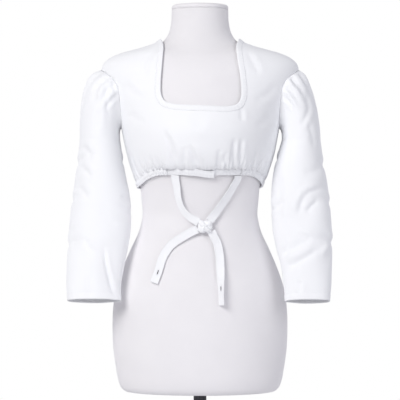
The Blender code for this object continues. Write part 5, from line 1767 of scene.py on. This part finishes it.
class BLOUSE_OT_neckline(bpy.types.Operator):
    """Turned edge of the neckline with its row of stitches"""

    bl_idname = "blouse.neckline"
    bl_label = "Neckline edge"

    def execute(self, context):
        cotton, sizes = cotton_of(context), context.scene.blouse_sizes
        lines = []
        for name, half in HALVES.items():
            count = round(half.neck_line.length / NECK_STEP) + 1
            pitch, depth = NECK_PUCKERS
            length = np.linspace(0, half.neck_line.length, count)
            rows = []
            for point in NECK_ROLL:
                pucker = depth / 2 * np.sin(2 * math.pi * length / pitch)
                out = point.out + pucker * max(0.0, point.width / NECK_BAND_WIDTH)
                rows.append(neck_line_points(half, point.width, out, count)[0])
            edge = Cloth()
            grid = np.stack(rows)
            widths = np.array([point.width for point in NECK_ROLL])
            flat = np.stack(np.broadcast_arrays(length[None, :], widths[:, None]), axis=-1)
            edge.add(grid, flat)
            piece = put(edge.piece(f"neck_edge_{name}", NECK_WALL), cotton, "cotton", f"neckline_band_{name}")
            points, outs, _ = neck_line_points(half, NECK_STITCH_WIDTH, NECK_STITCH_OUT, count)
            lines.append((points, outs))
        put(stitches("neck_stitches", lines, sizes), thread_of(context), "cotton")
        return {"FINISHED"}


class BLOUSE_OT_sleeves(bpy.types.Operator):
    """Three-quarter sleeves, pleated at the head and hemmed at the open cuff"""

    bl_idname = "blouse.sleeves"
    bl_label = "Sleeves"

    def execute(self, context):
        cotton, sizes = cotton_of(context), context.scene.blouse_sizes
        lines = []
        for name, left in (("left", True), ("right", False)):
            middle, normal, flat, heights = sleeve_rings(left)
            sleeve = Cloth()
            sleeve.add(middle, flat, closed=True)
            piece = put(sleeve.piece(f"sleeve_cloth_{name}", sizes.wall), cotton, "cotton", f"sleeve_{name}")
            row = SLEEVE_HEAD_ROWS + int(np.argmin(np.abs(heights - heights[-1] - HEM_DEPTH)))
            raised = middle[row] + normal[row] * (sizes.wall / 2 + sizes.stitch_radius / 2)
            closed = np.concatenate([raised, raised[:1]])
            lines.append((closed, np.concatenate([normal[row], normal[row][:1]])))
        put(stitches("sleeve_hem_stitches", lines, sizes), thread_of(context), "cotton")
        return {"FINISHED"}


class BLOUSE_OT_casing(bpy.types.Operator):
    """Elastic casing under the bust, with its flat lapped front and two rows of stitches"""

    bl_idname = "blouse.casing"
    bl_label = "Casing"

    def execute(self, context):
        cotton, sizes = cotton_of(context), context.scene.blouse_sizes
        gap = math.degrees(SEAM_GAP / FORM["front"](run_at_height(HEM_HEIGHT(0.0))))
        around = (LAPPED_CASING_TURNS[1] + gap, FRONT_CASING_TURNS[0] + 360.0 - gap)
        lines = []
        flat_shape = (FLAT_CASING_LIFT, FLAT_CASING_WALL, 0.0)
        for name, turns, shape, puckered, lapped in (
            ("front_left", FRONT_CASING_TURNS, flat_shape, FLAT_FRONT_SHARE, True),
            ("front_right", LAPPED_CASING_TURNS, flat_shape, FLAT_FRONT_SHARE, False),
            ("back", around, (CASING_LIFT, CASING_WALL, CASING_BULGE), 1.0, False),
        ):
            rings = casing_rings(*turns, *shape, puckered, lapped)
            band = Cloth()
            band.add(rings, ring_flat(rings), closed=True, capped=True)
            piece = put(band.piece(f"casing_{name}"), cotton, "cotton", f"hem_band_{name}")
            widths = np.array([point.width for point in CASING_SHAPE])
            outs = np.array([point.out for point in CASING_SHAPE])
            for share in CASING_STITCH_SHARES:
                column = int(np.argmin(np.abs(widths - share) + (outs < 0.5)))
                centre = rings.mean(axis=1)
                lines.append((rings[:, column], unit(rings[:, column] - centre)))
        put(stitches("casing_stitches", lines, sizes), thread_of(context), "cotton")
        return {"FINISHED"}


class BLOUSE_OT_ties(bpy.types.Operator):
    """Stitched ties, their knot and the worked buttonholes in their ends"""

    bl_idname = "blouse.ties"
    bl_label = "Ties and knot"

    def execute(self, context):
        cotton, sizes, colours = cotton_of(context), context.scene.blouse_sizes, context.scene.blouse_colours
        lines, buttonholes = [], []
        for name, points in TIES.items():
            rings, middle, across, out, stations = tie_rings(points)
            tie = Cloth()
            tie.add(rings, ring_flat(rings), closed=True, capped=True)
            piece = put(tie.piece(f"{name}_cloth"), cotton, "tie_cotton", name)
            for side in (-1, 1):
                line = middle + across * (side * TIE_STITCH_SHARE * TIE_WIDTH / 2)
                line = line + out * (TIE_WALL * TIE_STITCH_RAISE)
                lines.append((line, out))
            if name in BUTTONHOLES:
                at = int(np.argmin(np.abs(middle[:, 2] - BUTTONHOLES[name])))
                buttonholes.append((middle[at], across[at], out[at]))
        put(stitches("tie_stitches", lines, sizes), thread_of(context), "tie_cotton")
        worked, slit_shades = Cloth(), Cloth()
        for middle, across, out in buttonholes:
            onward = unit(np.cross(out, across))
            add_buttonhole(worked, slit_shades, middle + out * TIE_WALL / 2, across, onward, out)
        put(worked.piece("buttonhole_stitches"), thread_of(context), "tie_cotton")
        # Dark finish of the slits: painted shade inside the buttonholes
        dark = painted_finish("buttonhole_shadow", tuple(colours.buttonhole_shade), tuple(colours.buttonhole_shade))
        put(slit_shades.piece("buttonhole_slit_shades"), dark, "tie_cotton")
        knot = knot_cloth()
        put(knot.piece("knot_cloth"), cotton, "tie_cotton", "tie_knot")
        return {"FINISHED"}


def add_buttonhole(worked, slit_shades, middle, across, onward, out):
    """A slit along the tie with thread worked all round it; the slit's inside is a thin dark oval of painted
    shade.
    """
    turn = np.linspace(0, 2 * math.pi, STITCH_SIDES, endpoint=False)
    half_run = BUTTONHOLE_LENGTH / 2 - BUTTONHOLE_HALF_WIDTH
    for angle in np.linspace(0, 2 * math.pi, BUTTONHOLE_STITCHES, endpoint=False):
        along, side = math.cos(angle), math.sin(angle)
        reach = np.sign(along) * half_run * min(1.0, abs(along) * 1.4)
        foot = middle + onward * reach
        aim = unit(onward * along * (abs(along) > 0.7) + across * side)
        start = foot + aim * BUTTONHOLE_HALF_WIDTH * 0.45
        end = foot + aim * BUTTONHOLE_HALF_WIDTH * 1.5
        lie = unit(np.cross(aim, out))
        rings = []
        for share, swell in STITCH_SHAPE:
            radius = BUTTONHOLE_THREAD * swell
            centre = start + (end - start) * share + out * BUTTONHOLE_THREAD * swell * 0.6
            rings.append(centre + radius * (np.cos(turn)[:, None] * lie + np.sin(turn)[:, None] * out))
        worked.add(np.array(rings), np.zeros((len(rings), len(turn), 2)), closed=True, capped=True)
    # The slit: a thin dark oval just on the tie, painted shade where the opening lies in shadow
    bend = np.linspace(0, 2 * math.pi, SLIT_SIDES, endpoint=False)
    rings = []
    for swell, height in ((0.55, 0.0), (0.60, 0.00012), (0.45, 0.00016)):
        long_half = half_run + BUTTONHOLE_HALF_WIDTH * swell
        rings.append(
            middle
            + onward * (long_half * np.cos(bend))[:, None]
            + across * (BUTTONHOLE_HALF_WIDTH * swell * np.sin(bend))[:, None]
            + out * height
        )
    slit_shades.add(np.array(rings), np.zeros((len(rings), SLIT_SIDES, 2)), closed=True, capped=True)


def knot_cloth():
    """The knot's folded cloth: the grooved lump with fine folds running into its wrap."""
    lat = np.linspace(-math.pi / 2 + POLE_TRIM, math.pi / 2 - POLE_TRIM, KNOT_FINE_RINGS)
    turn = np.linspace(0, 2 * math.pi, KNOT_FINE_SIDES, endpoint=False)
    up, round_it = np.meshgrid(lat, turn, indexing="ij")
    directions = np.stack([np.cos(up) * np.cos(round_it), np.cos(up) * np.sin(round_it), np.sin(up)], axis=-1)
    slant, lean = math.cos(KNOT_WRAP_SLANT), math.sin(KNOT_WRAP_SLANT)
    along = directions[..., 0] * slant + directions[..., 2] * lean
    over = -directions[..., 0] * lean + directions[..., 2] * slant
    wrap = np.exp(-((along / KNOT_WRAP_HALF_WIDTH) ** 4))
    folds = KNOT_FOLD * (
        wrap * np.sin(KNOT_WRAP_FOLDS * along + 0.8 * over)
        + (1 - wrap) * np.sin(KNOT_BODY_FOLDS * over + 1.5 * np.sin(3 * along))
    )
    places = directions * (knot_swell(directions) * (1 + KNOT_WRAP_RAISE * wrap + folds))[..., None]
    rings = places * KNOT_HALF_SIZE + knot_middle()
    made = Cloth()
    made.add(rings, ring_flat(rings), closed=True, capped=True)
    return made


class BLOUSE_OT_studio(bpy.types.Operator):
    """Pale floor, soft lights, white surround and the camera"""

    bl_idname = "blouse.studio"
    bl_label = "Studio"

    def execute(self, context):
        sizes, colours = context.scene.studio_sizes, context.scene.blouse_colours
        floor = lathe(rounded_profile(sizes.floor_radius, -FLOOR_DEPTH, -FLOOR_GAP, FLOOR_DEPTH / 4))
        piece = floor.piece("floor")
        piece.data.materials.append(paper_finish("floor", tuple(colours.floor), tuple(colours.floor_shade)))
        add_light("key", KEY_PLACE, LIGHT_SIZE, sizes.key_power, KEY_COLOUR)
        add_light("fill", FILL_PLACE, LIGHT_SIZE, sizes.fill_power, FILL_COLOUR)
        for side in (-1, 1):
            across, back, height = BACK_PLACE
            add_light("back", (side * across, back, height), LIGHT_SIZE, sizes.back_power, FILL_COLOUR)
        add_surround(context.scene, sizes.surround)
        camera = bpy.data.objects.new("camera", bpy.data.cameras.new("camera"))
        context.scene.collection.objects.link(camera)
        camera.location = (0.0, -sizes.camera_distance, sizes.camera_height)
        camera.rotation_euler = (math.pi / 2, 0.0, 0.0)
        camera.data.sensor_width = SENSOR_WIDTH
        camera.data.lens = SENSOR_WIDTH * sizes.camera_distance / sizes.view_width
        context.scene.camera = camera
        context.scene.view_settings.view_transform = "Standard"
        return {"FINISHED"}


def add_light(name, place, width, power, colour):
    """Large square soft light aimed at the blouse."""
    light = bpy.data.lights.new(name, "AREA")
    light.size = width
    light.energy = power
    light.color = colour
    made = bpy.data.objects.new(name, light)
    made.location = place
    made.rotation_euler = (Vector(LIGHT_AIM) - Vector(place)).to_track_quat("-Z", "Y").to_euler()
    bpy.context.scene.collection.objects.link(made)


def add_surround(scene, strength):
    """White behind the blouse, and a dimmer lavender light from all round it."""
    world = bpy.data.worlds.new("studio")
    world.use_nodes = True
    scene.world = world
    nodes, links = world.node_tree.nodes, world.node_tree.links
    nodes.clear()
    seen = nodes.new("ShaderNodeLightPath")
    white, light = nodes.new("ShaderNodeBackground"), nodes.new("ShaderNodeBackground")
    white.inputs["Color"].default_value = (1.0, 1.0, 1.0, 1.0)
    white.inputs["Strength"].default_value = 1.0
    light.inputs["Color"].default_value = (*SURROUND_COLOUR, 1.0)
    light.inputs["Strength"].default_value = strength
    mixed, output = nodes.new("ShaderNodeMixShader"), nodes.new("ShaderNodeOutputWorld")
    links.new(seen.outputs["Is Camera Ray"], mixed.inputs[0])
    links.new(light.outputs[0], mixed.inputs[1])
    links.new(white.outputs[0], mixed.inputs[2])
    links.new(mixed.outputs[0], output.inputs["Surface"])


class BLOUSE_PT_panel(bpy.types.Panel):
    """Sizes, colours and the steps that build the blouse"""

    bl_idname = "BLOUSE_PT_panel"
    bl_label = "Dirndl blouse"
    bl_space_type = "VIEW_3D"
    bl_region_type = "UI"
    bl_category = "Blouse"

    def draw(self, context):
        layout = self.layout
        for group in PROPERTY_NAMES:
            settings = getattr(context.scene, group)
            for name in settings.bl_rna.properties.keys():
                if name not in ("name", "rna_type"):
                    layout.prop(settings, name)
        for step in STEPS:
            layout.operator(step.bl_idname)


STEPS = (
    BLOUSE_OT_studio,
    BLOUSE_OT_form,
    BLOUSE_OT_stand,
    BLOUSE_OT_bodice,
    BLOUSE_OT_neckline,
    BLOUSE_OT_sleeves,
    BLOUSE_OT_casing,
    BLOUSE_OT_ties,
)
PROPERTY_NAMES = {
    "blouse_sizes": BlouseSizes,
    "blouse_colours": BlouseColours,
    "studio_sizes": StudioSizes,
}


def register():
    for group in (*PROPERTY_NAMES.values(), *STEPS, BLOUSE_PT_panel):
        bpy.utils.register_class(group)
    for name, group in PROPERTY_NAMES.items():
        setattr(bpy.types.Scene, name, bpy.props.PointerProperty(type=group))


def unregister():
    for name in PROPERTY_NAMES:
        delattr(bpy.types.Scene, name)
    for group in reversed((*PROPERTY_NAMES.values(), *STEPS, BLOUSE_PT_panel)):
        bpy.utils.unregister_class(group)


def main():
    register()
    bpy.ops.blouse.studio()
    bpy.ops.blouse.form()
    bpy.ops.blouse.stand()
    bpy.ops.blouse.bodice()
    bpy.ops.blouse.neckline()
    bpy.ops.blouse.sleeves()
    bpy.ops.blouse.casing()
    bpy.ops.blouse.ties()


if __name__ == "__main__":
    main()
